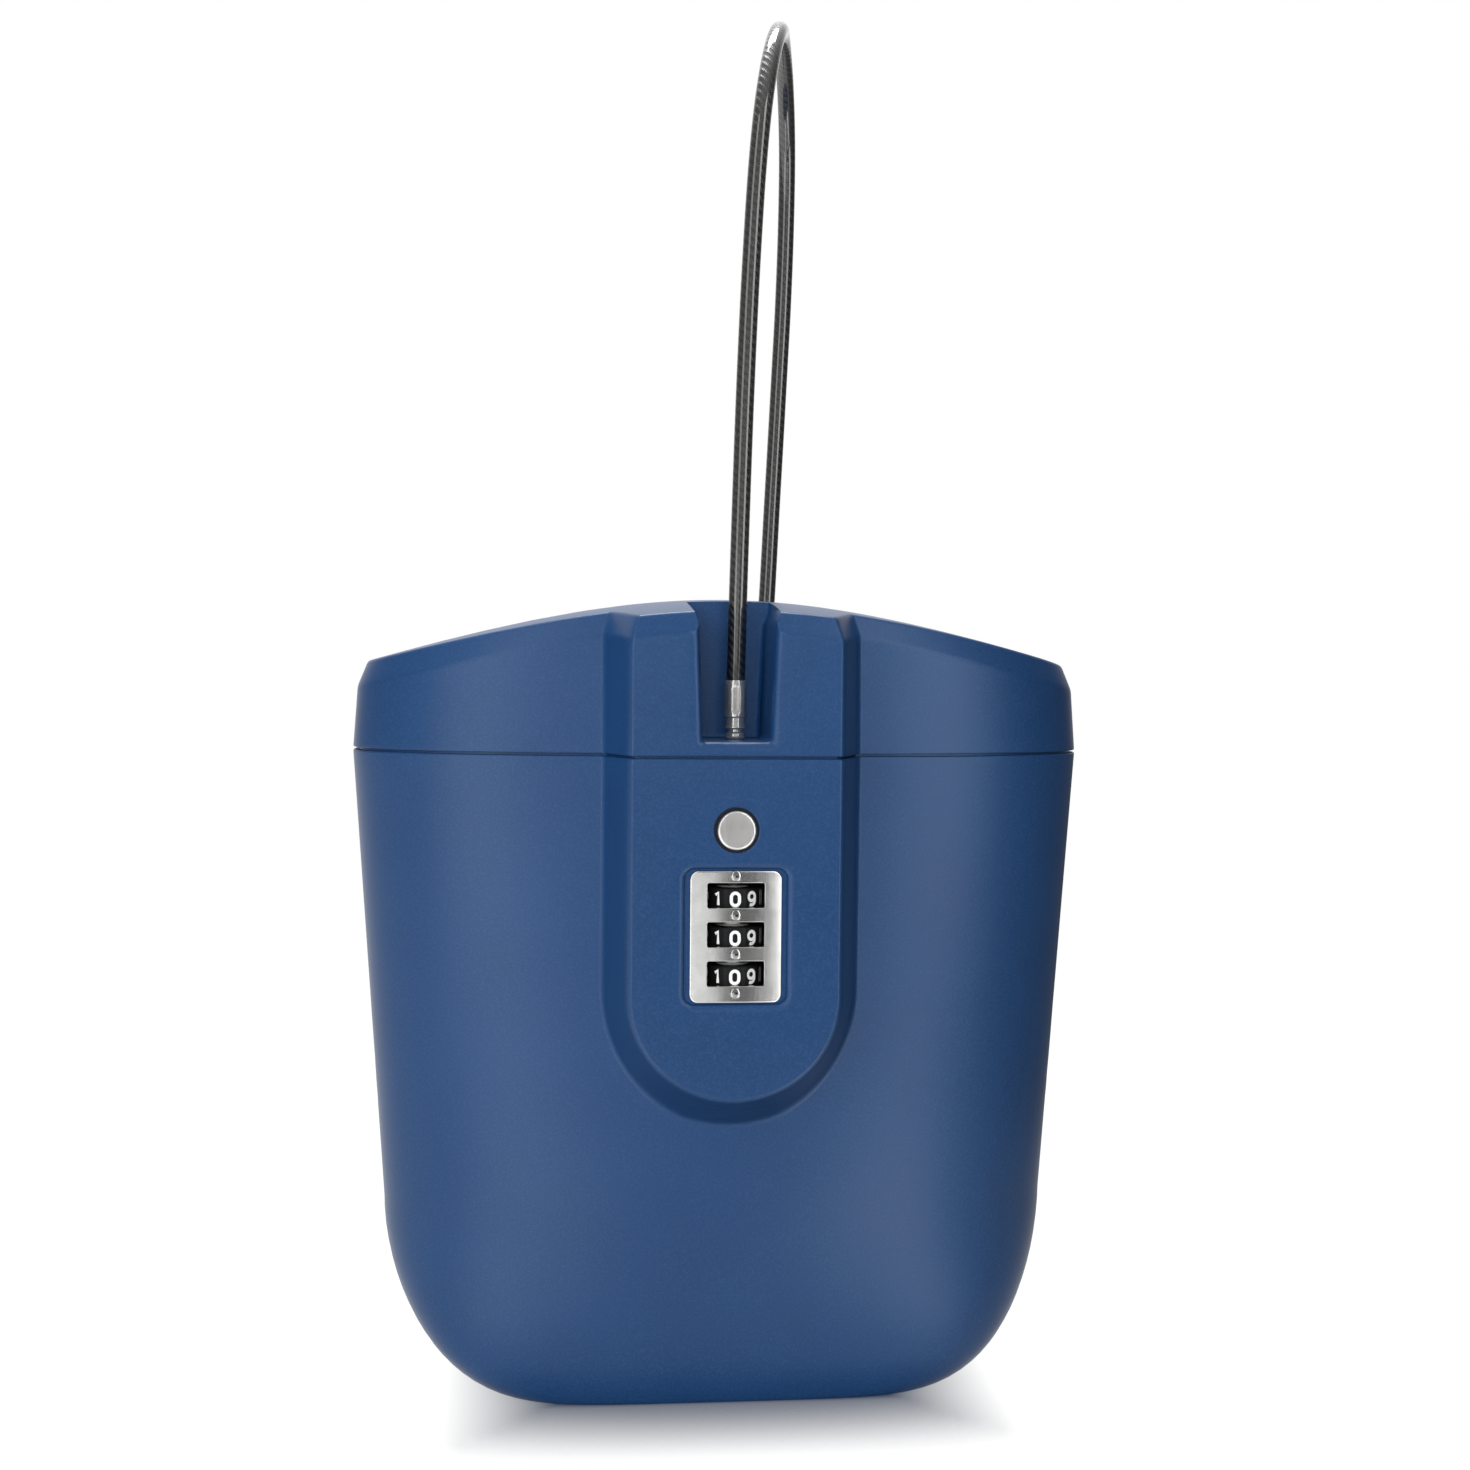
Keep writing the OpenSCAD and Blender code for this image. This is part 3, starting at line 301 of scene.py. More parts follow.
def newGroup(name, inputs, outputs):
    group = bpy.data.node_groups.new(name, "ShaderNodeTree")
    for label, value in inputs.items():
        socket = group.interface.new_socket(label, in_out="INPUT", socket_type="NodeSocketFloat")
        socket.default_value = value
    for label in outputs:
        group.interface.new_socket(label, in_out="OUTPUT", socket_type="NodeSocketFloat")
    return group, addNode(group, "NodeGroupInput")


def makeGrainGroup():
    group, given = newGroup("mouldGrain", {"Grain Scale": 1600, "Cloud Scale": 30}, ["Height", "Cloud"])
    place = objectPlace(group)
    fine = noise(group, place, given["Grain Scale"], 3, 0.6)
    cloud = noise(group, place, given["Cloud Scale"], 2)
    addNode(group, "NodeGroupOutput", {"Height": fine, "Cloud": cloud})
    return group


def makeDustGroup():
    # Dust lies in patches on what faces up
    group, given = newGroup("settledDust", {"Amount": 0.1, "Scale": 120}, ["Dust"])
    normal = addNode(group, "ShaderNodeNewGeometry")["Normal"]
    upward = ranged(group, splitPlace(group, normal)["Z"], 0, 1, 0.55, 1)
    patchy = ranged(group, noise(group, objectPlace(group), given["Scale"], 4), 0, 1, 0.4, 0.75)
    dust = reckon(group, "MULTIPLY", reckon(group, "MULTIPLY", upward, patchy), given["Amount"])
    addNode(group, "NodeGroupOutput", {"Dust": dust})
    return group


def makeBrushGroup():
    # Lines drawn out along Z, and patches in between
    group, given = newGroup("brushLines", {"Along": 60, "Across": 4000}, ["Lines", "Patches"])
    place = objectPlace(group)
    scales = {"X": given["Across"], "Y": given["Across"], "Z": given["Along"]}
    stretch = addNode(group, "ShaderNodeCombineXYZ", scales)[0]
    scaled = addNode(group, "ShaderNodeVectorMath", {0: place, 1: stretch}, operation="MULTIPLY")[0]
    found = {"Lines": noise(group, scaled, 1, 2), "Patches": noise(group, place, 220, 3)}
    addNode(group, "NodeGroupOutput", found)
    return group


grainGroup = makeGrainGroup()
dustGroup = makeDustGroup()
brushGroup = makeBrushGroup()


def colour(shown):
    # A colour as a screen shows it, 0 to 255, turned into light
    light = []
    for value in shown:
        share = value / 255
        light.append(share / 12.92 if share <= 0.04045 else ((share + 0.055) / 1.055) ** 2.4)
    return (*light, 1)


def newMaterial(name):
    material = bpy.data.materials.new(name)
    material.use_nodes = True
    tree = material.node_tree
    return material, tree, tree.nodes["Principled BSDF"]


def bumped(tree, height, strength, distance, under=None):
    values = {"Height": height, "Strength": strength, "Distance": distance}
    if under:
        values["Normal"] = under
    return addNode(tree, "ShaderNodeBump", values)["Normal"]


def bowed(tree, amount, axisY=None):
    # A shallow crown, from side to side or about an upright axis at axisY, spreads the light on a flat face
    place = splitPlace(tree, objectPlace(tree))
    square = reckon(tree, "MULTIPLY", place["X"], place["X"])
    if axisY is not None:
        away = reckon(tree, "SUBTRACT", place["Y"], axisY * mm)
        square = reckon(tree, "ADD", square, reckon(tree, "MULTIPLY", away, away))
    return bumped(tree, reckon(tree, "MULTIPLY", square, -amount), 1, 1)


# Plastics: each one is the body's navy apart from the values it names
navy = {
    "dark": (14, 56, 102), "light": (19, 61, 108), "fleck": (44, 86, 134), "speck": 0.45, "grain": 1800,
    "cloud": 28, "smooth": 0.33, "rough": 0.4, "bump": 0.3, "bumpHigh": 0.05, "ior": 1.49, "specular": 0.5,
    "tint": (0.86, 0.93, 1, 1), "dust": 0.02, "dustColour": (168, 172, 178), "paintedEdgeShadeFrom": 0.34,
    "paintedEdgeShadeTo": 0.54,
}
plastics = {
    "bodyNavy": {},
    "panelNavy": {"dark": (8, 46, 92), "light": (12, 51, 98), "bump": 0.25},
    "frameBlack": {"dark": (26, 26, 28), "light": (34, 34, 37), "fleck": (58, 58, 60), "grain": 1400},
    "wheelBlack": {
        "dark": (13, 13, 14), "light": (19, 19, 20), "fleck": (30, 30, 32),
        "specular": 0.22, "smooth": 0.42, "rough": 0.52, "bump": 0.1,
    },
    "sliderRed": {"dark": (160, 26, 20), "light": (176, 34, 27), "fleck": (190, 60, 50)},
    "sealRubber": {
        "dark": (14, 14, 15), "light": (22, 22, 23), "fleck": (40, 40, 42),
        "specular": 0.3, "smooth": 0.65, "rough": 0.8,
    },
    # Number ink, with a small painted glow and painted shade where it is seen edge-on
    "numberWhite": {
        "dark": (246, 246, 244), "light": (252, 252, 250), "fleck": (255, 255, 255),
        "specular": 0.08, "smooth": 0.6, "rough": 0.7, "bump": 0.1, "glow": 0.04, "paintedEdgeShade": (13, 13, 14),
    },
}


def mouldedPlastic(name, values):
    material, tree, shader = newMaterial(name)
    grain = addGroup(tree, grainGroup, {"Grain Scale": values["grain"], "Cloud Scale": values["cloud"]})
    dust = addGroup(tree, dustGroup, {"Amount": values["dust"]})["Dust"]
    cloud = ranged(tree, grain["Cloud"], 0, 1)
    speck = ranged(tree, grain["Height"], 0, values["speck"], 0.45, 0.75)
    base = mixColours(tree, cloud, colour(values["dark"]), colour(values["light"]))
    base = mixColours(tree, speck, base, colour(values["fleck"]))
    base = mixColours(tree, dust, base, colour(values["dustColour"]))
    if "paintedEdgeShade" in values:
        # Painted shade: the number ink is darkened where it is seen almost edge-on, so a digit turned away
        # at a window's edge reads dark
        paintedEdgeShadeMask = addNode(tree, "ShaderNodeLayerWeight", {"Blend": 0.5})["Facing"]
        paintedEdgeShadeMask = ranged(tree, paintedEdgeShadeMask, 0, 1, values["paintedEdgeShadeFrom"], values["paintedEdgeShadeTo"])
        base = mixColours(tree, paintedEdgeShadeMask, base, colour(values["paintedEdgeShade"]))
    # Painted glow: the ink gives off a little light of its own, which lifts the digits on the turned-away
    # faces
    if "glow" in values:
        feed(tree, shader, {"Emission Color": colour(values["light"]), "Emission Strength": values["glow"]})
    feed(tree, shader, {
        "Base Color": base,
        "Roughness": ranged(tree, grain["Height"], values["smooth"], values["rough"]),
        "Normal": bumped(tree, grain["Height"], values["bump"], values["bumpHigh"] * mm),
        "IOR": values["ior"],
        "Specular IOR Level": values["specular"],
        "Specular Tint": values["tint"],
    })
    return material


# Metals, with the scale of their brush lines along Z and across; each one names what differs from nickel
nickel = {
    "dark": (206, 205, 202), "light": (222, 221, 218), "along": 60, "across": 900, "smooth": 0.3,
    "rough": 0.4, "bump": 0.05, "bumpHigh": 0.02, "metallic": 1,
}
metals = {
    "satinNickel": {"dark": (212, 211, 209), "light": (228, 227, 225), "across": 5200, "bump": 0.12},
    "plateNickel": {
        "dark": (200, 200, 199), "light": (216, 216, 215), "across": 5200, "smooth": 0.2, "rough": 0.26,
        "bump": 0.02, "bow": 8.2,
    },
    "brightNickel": {
        "dark": (205, 204, 202), "light": (221, 220, 218), "along": 90, "smooth": 0.1, "rough": 0.18,
        "bump": 0.06,
    },
    "pipSteel": {
        "dark": (150, 149, 148), "light": (166, 165, 164), "smooth": 0.12, "rough": 0.18, "bump": 0.04,
    },
    "hubZinc": {
        "dark": (226, 226, 224), "light": (238, 238, 236), "metallic": 0.1, "bow": 110, "bowAxisY": -43.25,
    },
    "crimpNickel": {"along": 90, "smooth": 0.14, "rough": 0.22, "bump": 0.1, "metallic": 0.88},
    "bareSteel": {
        "dark": (158, 158, 160), "light": (176, 176, 178), "along": 400, "across": 2600, "rough": 0.45,
        "bump": 0.15,
    },
    "castZinc": {
        "dark": (150, 151, 153), "light": (170, 171, 174), "along": 900, "across": 1100, "smooth": 0.42,
        "rough": 0.58, "bump": 0.3,
    },
}


def platedMetal(name, values):
    material, tree, shader = newMaterial(name)
    brush = addGroup(tree, brushGroup, {"Along": values["along"], "Across": values["across"]})
    patches = ranged(tree, brush["Patches"], 0, 1)
    crown = bowed(tree, values["bow"], values.get("bowAxisY")) if "bow" in values else None
    feed(tree, shader, {
        "Base Color": mixColours(tree, patches, colour(values["dark"]), colour(values["light"])),
        "Roughness": ranged(tree, brush["Lines"], values["smooth"], values["rough"]),
        "Normal": bumped(tree, brush["Lines"], values["bump"], values["bumpHigh"] * mm, crown),
        "Metallic": values["metallic"],
    })
    return material


materials = {name: mouldedPlastic(name, {**navy, **values}) for name, values in plastics.items()}
materials.update({name: platedMetal(name, {**nickel, **values}) for name, values in metals.items()})
print("stage: materials made")


def dress(obj, material, rides, replaces=None):
    # The finish of a piece, and what it is in the frame
    if material:
        obj.data.materials.clear()
        obj.data.materials.append(materials[material])
    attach(obj, rides)
    if replaces:
        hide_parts(replaces)


# Cable: a smoke-black sheath over a twisted steel rope
cable = {
    "diameter": 4.9,
    "sides": 24,
    "ringStep": 1.5,
    "strands": 6,
    "strandSpacing": 2.3,
    "strandHigh": 0.25,
    "bump": 0.9,
    "coatRough": 0.07,
    "coatIor": 1.8,
    "groove": (3, 3, 3),
    "crest": (62, 60, 57),
    "cloud": (20, 20, 20),
    "lidEnd": (0.016, 0.032, 0.19),
    "plugEnd": (0.001, -0.037, 0.19),
    "route": [
        (1, -37, 187), (1, -37, 191), (1, -37, 195), (1.1, -37.2, 201), (1.3, -38, 215), (1.7, -39.5, 238),
        (2.2, -41, 262), (2.9, -41.5, 284), (3.8, -41, 304), (5.1, -39.5, 325), (6.8, -36.5, 342),
        (9.2, -30.5, 356), (12, -21, 366), (14.3, -10.5, 371.2), (16, 0, 372.5), (17.8, 10.5, 371),
        (19.7, 20.5, 366), (21.4, 29.5, 357), (22.4, 35.5, 345), (22.6, 38.8, 326), (22.1, 39.8, 305),
        (21.2, 39.8, 285), (20.2, 39.2, 265), (19, 38, 243), (17.7, 36.2, 219), (16.5, 33.6, 203),
        (16, 32.2, 195), (16, 32, 191), (16, 32, 187), (16, 32, 183),
    ],
}


def smoothRoute(points, step):
    # A curve through the points, with its own points about a step apart
    points = [Vector(point) for point in points]
    out = []
    for spot in range(len(points) - 1):
        before = points[max(spot - 1, 0)]
        start = points[spot]
        end = points[spot + 1]
        after = points[min(spot + 2, len(points) - 1)]
        bend = 2 * before - 5 * start + 4 * end - after
        twist = 3 * start - before - 3 * end + after
        count = max(1, round((end - start).length / step))
        for part in range(count):
            t = part / count
            out.append(0.5 * (2 * start + (end - before) * t + bend * t * t + twist * t ** 3))
    out.append(points[-1])
    return out


def makeCableMaterial(values):
    material, tree, shader = newMaterial("cableSheath")
    place = splitPlace(tree, addNode(tree, "ShaderNodeUVMap")["UV"])
    around = reckon(tree, "MULTIPLY", place["X"], values["strands"])
    along = reckon(tree, "MULTIPLY", place["Y"], 1 / (values["strandSpacing"] * mm))
    turn = reckon(tree, "MULTIPLY", reckon(tree, "ADD", around, along), 2 * pi)
    strand = ranged(tree, reckon(tree, "COSINE", turn), 0, 1, -0.7, 1)
    cloud = addGroup(tree, grainGroup, {"Grain Scale": 500, "Cloud Scale": 60})["Cloud"]
    rope = mixColours(tree, strand, colour(values["groove"]), colour(values["crest"]))
    rope = mixColours(tree, ranged(tree, cloud, 0, 0.35), rope, colour(values["cloud"]))
    feed(tree, shader, {
        "Base Color": rope,
        "Metallic": ranged(tree, strand, 0.2, 0.75, 0, 1),
        "Roughness": ranged(tree, strand, 0.5, 0.34, 0, 1),
        "Normal": bumped(tree, strand, values["bump"], values["strandHigh"] * mm),
        "Coat Weight": 1,
        "Coat Roughness": values["coatRough"],
        "Coat IOR": values["coatIor"],
    })
    return material


def makeCable(values):
    route = smoothRoute(values["route"], values["ringStep"])
    sides = values["sides"]
    radius = values["diameter"] / 2
    reference = Vector((1, 0, 0))
    rings = []
    travelled = [0]
    for spot, centre in enumerate(route):
        heading = (route[min(spot + 1, len(route) - 1)] - route[max(spot - 1, 0)]).normalized()
        across = heading.cross(reference).normalized()
        other = heading.cross(across)
        if spot:
            travelled.append(travelled[-1] + (centre - route[spot - 1]).length)
        rings.append(circle(centre, radius, across, other, sides))
    obj = faceOutwards(addStack("cableTube", rings))
    chart = obj.data.uv_layers.new(name="lay")
    for face in obj.data.polygons:
        spots = [obj.data.loops[loop].vertex_index for loop in face.loop_indices]
        wraps = {spot % sides for spot in spots} >= {0, sides - 1} and len(spots) == 4
        for loop, spot in zip(face.loop_indices, spots):
            side = spot % sides
            around = 1 if wraps and side == 0 else side / sides
            chart.data[loop].uv = (around, travelled[spot // sides] * mm)
    obj.data.materials.append(makeCableMaterial(values))
    shadeSoft(obj, 40, False)
    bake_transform(obj)
    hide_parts("cable")
    path = [tuple(point * mm) for point in reversed(route)]
    return obj, path, travelled[-1] * mm


cableTube, cablePath, cableLength = makeCable(cable)
print("stage: cable made,", round(cableLength, 4), "m long")

# Ferrule and locking plug
plug = {
    "place": (1, -37, 0),
    "profile": [
        (0, 158), (0.8, 158), (1.1, 158.3), (1.9, 163), (1.3, 163), (1.3, 165), (2.1, 165), (2.1, 178.4),
        (2.35, 178.4), (2.6, 178.9), (2.6, 179.8), (2.1, 180.3), (2.0, 180.3), (2.0, 181.3), (2.9, 181.3),
        (2.9, 181.8), (2.5, 181.8), (2.5, 184), (0, 184),
    ],
    "sleeve": [
        (0, 184), (2.6, 184), (2.9, 184.3), (2.9, 185.2), (2.9, 185.8), (2.9, 188), (2.9, 190), (2.9, 191.9),
        (2.9, 192.5), (2.9, 193.3), (2.75, 193.9), (2.5, 193.9), (2.5, 187), (0, 187),
    ],
    "profileRound": 0.14,
    "sleeveRound": 0.16,
    "crimp": {"deep": 0.28, "count": 5, "foot": 185.3, "top": 192.4, "end": 0.5, "skin": 2.7},
}


def pressCrimps(obj, values):
    # Pushes the outer skin in along upright flutes, deepest between foot and top
    x, y, z = plug["place"]
    for point in obj.data.vertices:
        away = Vector((point.co.x / mm - x, point.co.y / mm - y, 0))
        up = point.co.z / mm
        depth = min(up - values["foot"], values["top"] - up) / values["end"]
        if away.length < values["skin"] or depth <= 0:
            continue
        turn = atan2(away.y, away.x) + pi / 2
        flute = (0.5 + 0.5 * cos(values["count"] * turn)) ** 2
        away = away.normalized() * (away.length - values["deep"] * flute * min(1, depth))
        point.co = Vector((x + away.x, y + away.y, up)) * mm


plugPin = addTurned("plugPin", flatProfile(plug["profile"], plug["profileRound"]), plug["place"], 72)
sleeveProfile = flatProfile(plug["sleeve"], plug["sleeveRound"])
plugSleeve = addTurned("plugSleeve", sleeveProfile, plug["place"], 120)
pressCrimps(plugSleeve, plug["crimp"])
for piece, node in ((plugPin, "locking_plug"), (plugSleeve, "cable_ferrule")):
    shadeSoft(piece, 34)
    dress(piece, "crimpNickel", "plug", node)
print("stage: plug made")

# Outline of tub and lid, the same as the solids' own
body = {
    "seam": 174, "crown": 41.8, "crownRound": 27, "crownSlope": 0.367, "crownRadius": 335, "wall": 3.2,
    "square": 2.4, "baseSquare": 5.6, "squareFade": 2.3, "bevelWidth": 2.8, "bevelHeight": 5.6,
    "bevelEnd": 0.3, "bevelAt": 0.75, "bevelDraw": 0.35, "topDraw": 1.45, "lidFoot": 174.6,
    "rim": 173.95, "lip": 175.55, "rebate": 176.75, "lipIn": 1.7, "skirtIn": 1.35,
}
widths = {"full": 202.5, "base": 53.5, "draw": 0, "roundTop": 50, "lean": 0.07, "lidLean": 0.07}
depths = {"full": 80, "base": 33.5, "draw": 0.35, "roundTop": 12.5, "lean": 0.0257, "lidLean": 0.05}
pad = {
    "front": -53, "crest": 27.5, "foot": 33.5, "flare": 2.5, "middle": 112.6, "shift": 0.62,
    "footLeast": 6, "crestLeast": 2, "soft": 0.16,
}
columns = {
    "slopes": [-0.16, -0.1, -0.05, 0, 0.06, 0.16, 0.3, 0.5, 0.7, 0.84, 0.94, 1, 1.05, 1.1, 1.16],
    "middles": 11,
    "quarter": 44,
}


def halfSize(form, z, inset):
    # Half the body's width or depth at a height, leaning above the seam and below it, with a rounded base
    if z > body["seam"]:
        return form["full"] / 2 - (z - body["seam"]) * form["lidLean"] - inset
    top = form["roundTop"]
    if z > top:
        return form["full"] / 2 - (body["seam"] - z) * form["lean"] - inset
    draw = form["draw"] * inset
    grown = form["full"] / 2 - (body["seam"] - top) * form["lean"] - form["base"] - inset + draw
    return form["base"] - draw + grown * sqrt(max(0, 1 - ((top - z) / (top - inset)) ** 2))


def belowPad(z):
    return max(0, pad["middle"] - z)


def footRadius(z):
    return pad["foot"] + pad["flare"] * min(1, belowPad(z) / pad["foot"]) ** 2


def padRise(x, z, inset):
    # 0 beside the pad and 1 on it, with a soft bend at the foot and at the crest of its slope
    soft = pad["soft"]
    foot = footRadius(z)
    share = (foot - pad["shift"] * inset - hypot(x, belowPad(z))) / (foot - pad["crest"])
    if share <= -soft:
        return 0
    if share < soft:
        return (share + soft) ** 2 / (4 * soft)
    if share < 1 - soft:
        return share
    if share < 1 + soft:
        return 1 - (1 + soft - share) ** 2 / (4 * soft)
    return 1


def padX(share, z, inset):
    across = footRadius(z) - pad["crest"]
    radius = footRadius(z) - pad["shift"] * inset - share * across
    up = (share + pad["soft"]) / (1 + 2 * pad["soft"])
    least = pad["footLeast"] + (pad["crestLeast"] - pad["footLeast"]) * up
    return sqrt(max(least * least, radius * radius - belowPad(z) ** 2))


def squareness(z):
    share = max(0, 1 - z / widths["roundTop"])
    return body["square"] + (body["baseSquare"] - body["square"]) * share ** body["squareFade"]


def frontY(x, z, inset):
    power = squareness(z)
    across = abs(x) / halfSize(widths, z, inset)
    return -halfSize(depths, z, inset) * max(0, 1 - across ** power) ** (1 / power)


def padPoint(x, z, inset):
    y = frontY(x, z, inset)
    return (x, y + padRise(x, z, inset) * (pad["front"] + inset - y))


def sidePoint(turn, z, inset):
    power = 2 / squareness(z)
    c = cos(turn)
    s = sin(turn)
    x = halfSize(widths, z, inset) * copysign(abs(c) ** power, c)
    return (x, -halfSize(depths, z, inset) * copysign(abs(s) ** power, s))


def outlineColumns():
    # Points once around the body: the left side and back, the right side, the pad's slopes and its middle
    quarter = columns["quarter"]
    spots = [("side", step / quarter, 1) for step in range(quarter + 1)]
    spots += [("side", step / quarter, -1) for step in range(quarter - 1, -1, -1)]
    spots += [("slope", share, -1) for share in columns["slopes"][1:]]
    middles = columns["middles"]
    spots += [("middle", 2 * (step + 1) / (middles + 1) - 1, 1) for step in range(middles)]
    spots += [("slope", share, 1) for share in reversed(columns["slopes"][1:])]
    return spots


outline = outlineColumns()


def shellPoint(spot, z, inset):
    kind, share, side = spot
    if kind == "middle":
        return padPoint(share * padX(columns["slopes"][-1], z, inset), z, inset)
    if kind == "slope":
        x, y = padPoint(padX(share, z, inset), z, inset)
        return (side * x, y)
    footShare = min(1, padX(columns["slopes"][0], z, inset) / halfSize(widths, z, inset))
    start = acos(footShare ** (squareness(z) / 2))
    x, y = sidePoint(start - (start + pi / 2) * share, z, inset)
    return (side * x, y)


def flatRing(z, inset):
    return [(*shellPoint(spot, z, inset), z) for spot in outline]


def crestHeight(x, y):
    arch = hypot(body["crownRound"], body["crownSlope"] * x) - body["crownRound"]
    return body["seam"] + body["crown"] - arch - y * y / (2 * body["crownRadius"])


def wallTop(spot, inset):
    x, y = shellPoint(spot, body["lidFoot"] + body["crown"] * body["bevelAt"], body["bevelWidth"])
    drop = body["bevelHeight"] * (1 + body["bevelEnd"] * abs(x) / halfSize(widths, body["seam"], 0))
    return crestHeight(x, y) - drop - body["bevelDraw"] * inset


def wallPoint(spot, share, foot, inset):
    z = foot + share * (wallTop(spot, inset) - foot)
    return (*shellPoint(spot, z, inset), z)


def topPoint(spot, share, inset):
    x, y = shellPoint(spot, wallTop(spot, inset), body["bevelWidth"] + body["topDraw"] * inset)
    return (share * x, share * y, crestHeight(share * x, share * y) - inset)


# Tub, with the lock's place in it and its half of the hinges
lock = {
    "plateMiddle": 128.1, "buttonZ": 155.6, "recess": (26.4, 35, 2.6), "recessRows": (-51.5, -53, 2, 1.3),
    "opening": (20.4, 31.4, 1.5), "openingRows": (-47.8, -51.9, 0.2, 0.2),
    "buttonHole": [(0, 47.5), (5.75, 47.5), (5.75, 52.4), (5.85, 52.75), (6.25, 53), (6.25, 55), (0, 55)],
    "postSpots": [(-20.5, 0, 163), (-20.5, 0, 117.2), (20.5, 0, 163), (20.5, 0, 117.2)],
    "post": (3, 41, 50.5), "thread": (1.28, 39, 47),
}
hinge = {
    "spots": (-45, 45), "y": 43.5, "z": 174.3, "r": 3.4, "middle": 9.4, "end": 8, "gap": 0.3, "root": 1.2,
    "rootIn": 0.05, "rootShort": 0.02, "rootLift": 0.4, "round": 0.35,
    "tubBore": (1.275, -16, 16), "lidBore": (1.3, -8, 8),
}
boreSpots = [(x, hinge["y"], hinge["z"]) for x in hinge["spots"]]
tubRings = {
    "edge": (0, 5, 10, 16, 23, 31, 40, 50, 60, 70, 80, 90),
    "round": (46, 51, 56, 61, 66, 71, 76, 81, 86),
    "bands": ((50, 75.1, 3.4), (75.1, 86.6, 0.35), (86.6, 112.6, 1.2), (112.6, 173.45, 3.6)),
    "rimRound": 0.5,
    "lipRound": 0.4,
    "innerEdge": (0, 12, 25, 40, 55, 70, 90),
    "innerRound": (50, 60, 70, 80),
    "innerBands": ((50, 76.6, 8), (76.6, 112.6, 1.5), (112.6, 173.95, 8)),
}


def roundHeights(low, high, angles):
    return [low + (high - low) * (1 - cos(radians(angle))) for angle in angles]


def bandHeights(bands):
    heights = []
    for low, high, step in bands:
        count = max(1, round((high - low) / step))
        heights += [low + (high - low) * part / count for part in range(count)]
    return heights


def makeKnuckle(x, start, end, rootLow, rootHigh):
    # A barrel of the hinge and the root that ties it to the shell, both from start to end beside x
    r = hinge["r"]
    profile = flatProfile([(0, start), (r, start), (r, end), (0, end)], hinge["round"])
    rod = addTurned("rod", profile, (x, hinge["y"], hinge["z"]), 48, "X")
    low = x + start
    high = x + end
    rootY = -frontY(max(abs(low), abs(high)), body["seam"], 0) - hinge["root"]
    inside = hinge["rootIn"]
    root = addBlock("root", (low + inside, rootY, rootLow), (high - inside, hinge["y"], rootHigh))
    return [root, rod]


def makeTub():
    wall = body["wall"]
    heights = roundHeights(0, depths["roundTop"], tubRings["edge"])
    heights += roundHeights(0, widths["roundTop"], tubRings["round"])
    heights += bandHeights(tubRings["bands"])
    rimRound = tubRings["rimRound"]
    lipRound = tubRings["lipRound"]
    lipIn = body["lipIn"]
    rows = [(z, 0) for z in heights] + roundingRows(body["rim"], rimRound, -rimRound, 3)
    rows += [(body["rim"], lipIn), (body["lip"] - lipRound, lipIn), (body["lip"], lipIn + lipRound)]
    rows.append((body["lip"], wall))
    inner = roundHeights(wall, depths["roundTop"], tubRings["innerEdge"])
    inner += roundHeights(wall, widths["roundTop"], tubRings["innerRound"])
    inner += bandHeights(tubRings["innerBands"])
    rows += [(z, wall) for z in reversed(inner)]
    tub = addStack("tubShell", [flatRing(z, inset) for z, inset in rows])
    added = []
    reach = hinge["middle"] / 2 + hinge["gap"]
    rootLow = hinge["z"] - hinge["r"] + hinge["rootShort"]
    for x in hinge["spots"]:
        for start in (reach, -reach - hinge["end"]):
            added += makeKnuckle(x, start, start + hinge["end"], rootLow, body["rim"])
    added += rods("post", lock["post"], lock["postSpots"], 40, "Y")
    join(tub, added, "UNION")
    cuts = [
        facingCutter("recess", lock["recess"], lock["plateMiddle"], *lock["recessRows"]),
        facingCutter("opening", lock["opening"], lock["plateMiddle"], *lock["openingRows"]),
        addTurned("hole", lock["buttonHole"], (0, 0, lock["buttonZ"]), 72, "Y"),
    ]
    cuts += rods("thread", lock["thread"], lock["postSpots"], 32, "Y")
    cuts += rods("bore", hinge["tubBore"], boreSpots, 40, "X")
    join(tub, cuts, "DIFFERENCE")
    shadeSoft(tub, 32)
    dress(tub, "bodyNavy", "tub", "tub_shell")
    return tub


tubShell = makeTub()
print("stage: tub made,", len(tubShell.data.polygons), "faces")

# Lid, with its two notches, what fills its hollow, and its half of the hinges
lid = {
    "footRound": ((0, 0.25), (0.08, 0.08), (0.3, 0)),
    "walls": (0.08, 0.2, 0.34, 0.48, 0.6, 0.72),
    "bendWalls": (0.82, 1),
    "bendTops": (1, 0.965),
    "bendRound": 1,
    "tops": (0.9, 0.8, 0.68, 0.55, 0.42, 0.3, 0.19, 0.09),
    "innerWalls": (0.35, 0.75, 1),
    "innerTops": (1, 0.75, 0.45, 0.2),
    "fillings": [
        ((-13, -55, 176.75), (13, -21, 218)),
        ((5, 23, 176.75), (27, 80, 218)),
        ((5, 27.5, 175.2), (27, 35.6, 180)),
    ],
    "plugSpot": (1, -37, 0),
    "plugBoss": (6, 175.2, 180),
    "plugHole": [(0, 170), (2.35, 170), (2.35, 178), (2.7, 178.35), (2.7, 182), (0, 182)],
    "cableSpot": (16, 32, 0),
    "cableHole": (2.2, 170, 182),
    "anchorSpots": [(8, 32, 0), (24, 32, 0)],
    "anchorHole": (1.28, 170, 177.8),
    "bossSpots": [(-60, -18, 0), (-60, 18, 0), (60, -18, 0), (60, 18, 0)],
    "boss": (3.5, 181, 218),
    "bossHole": (1.28, 179, 188),
}
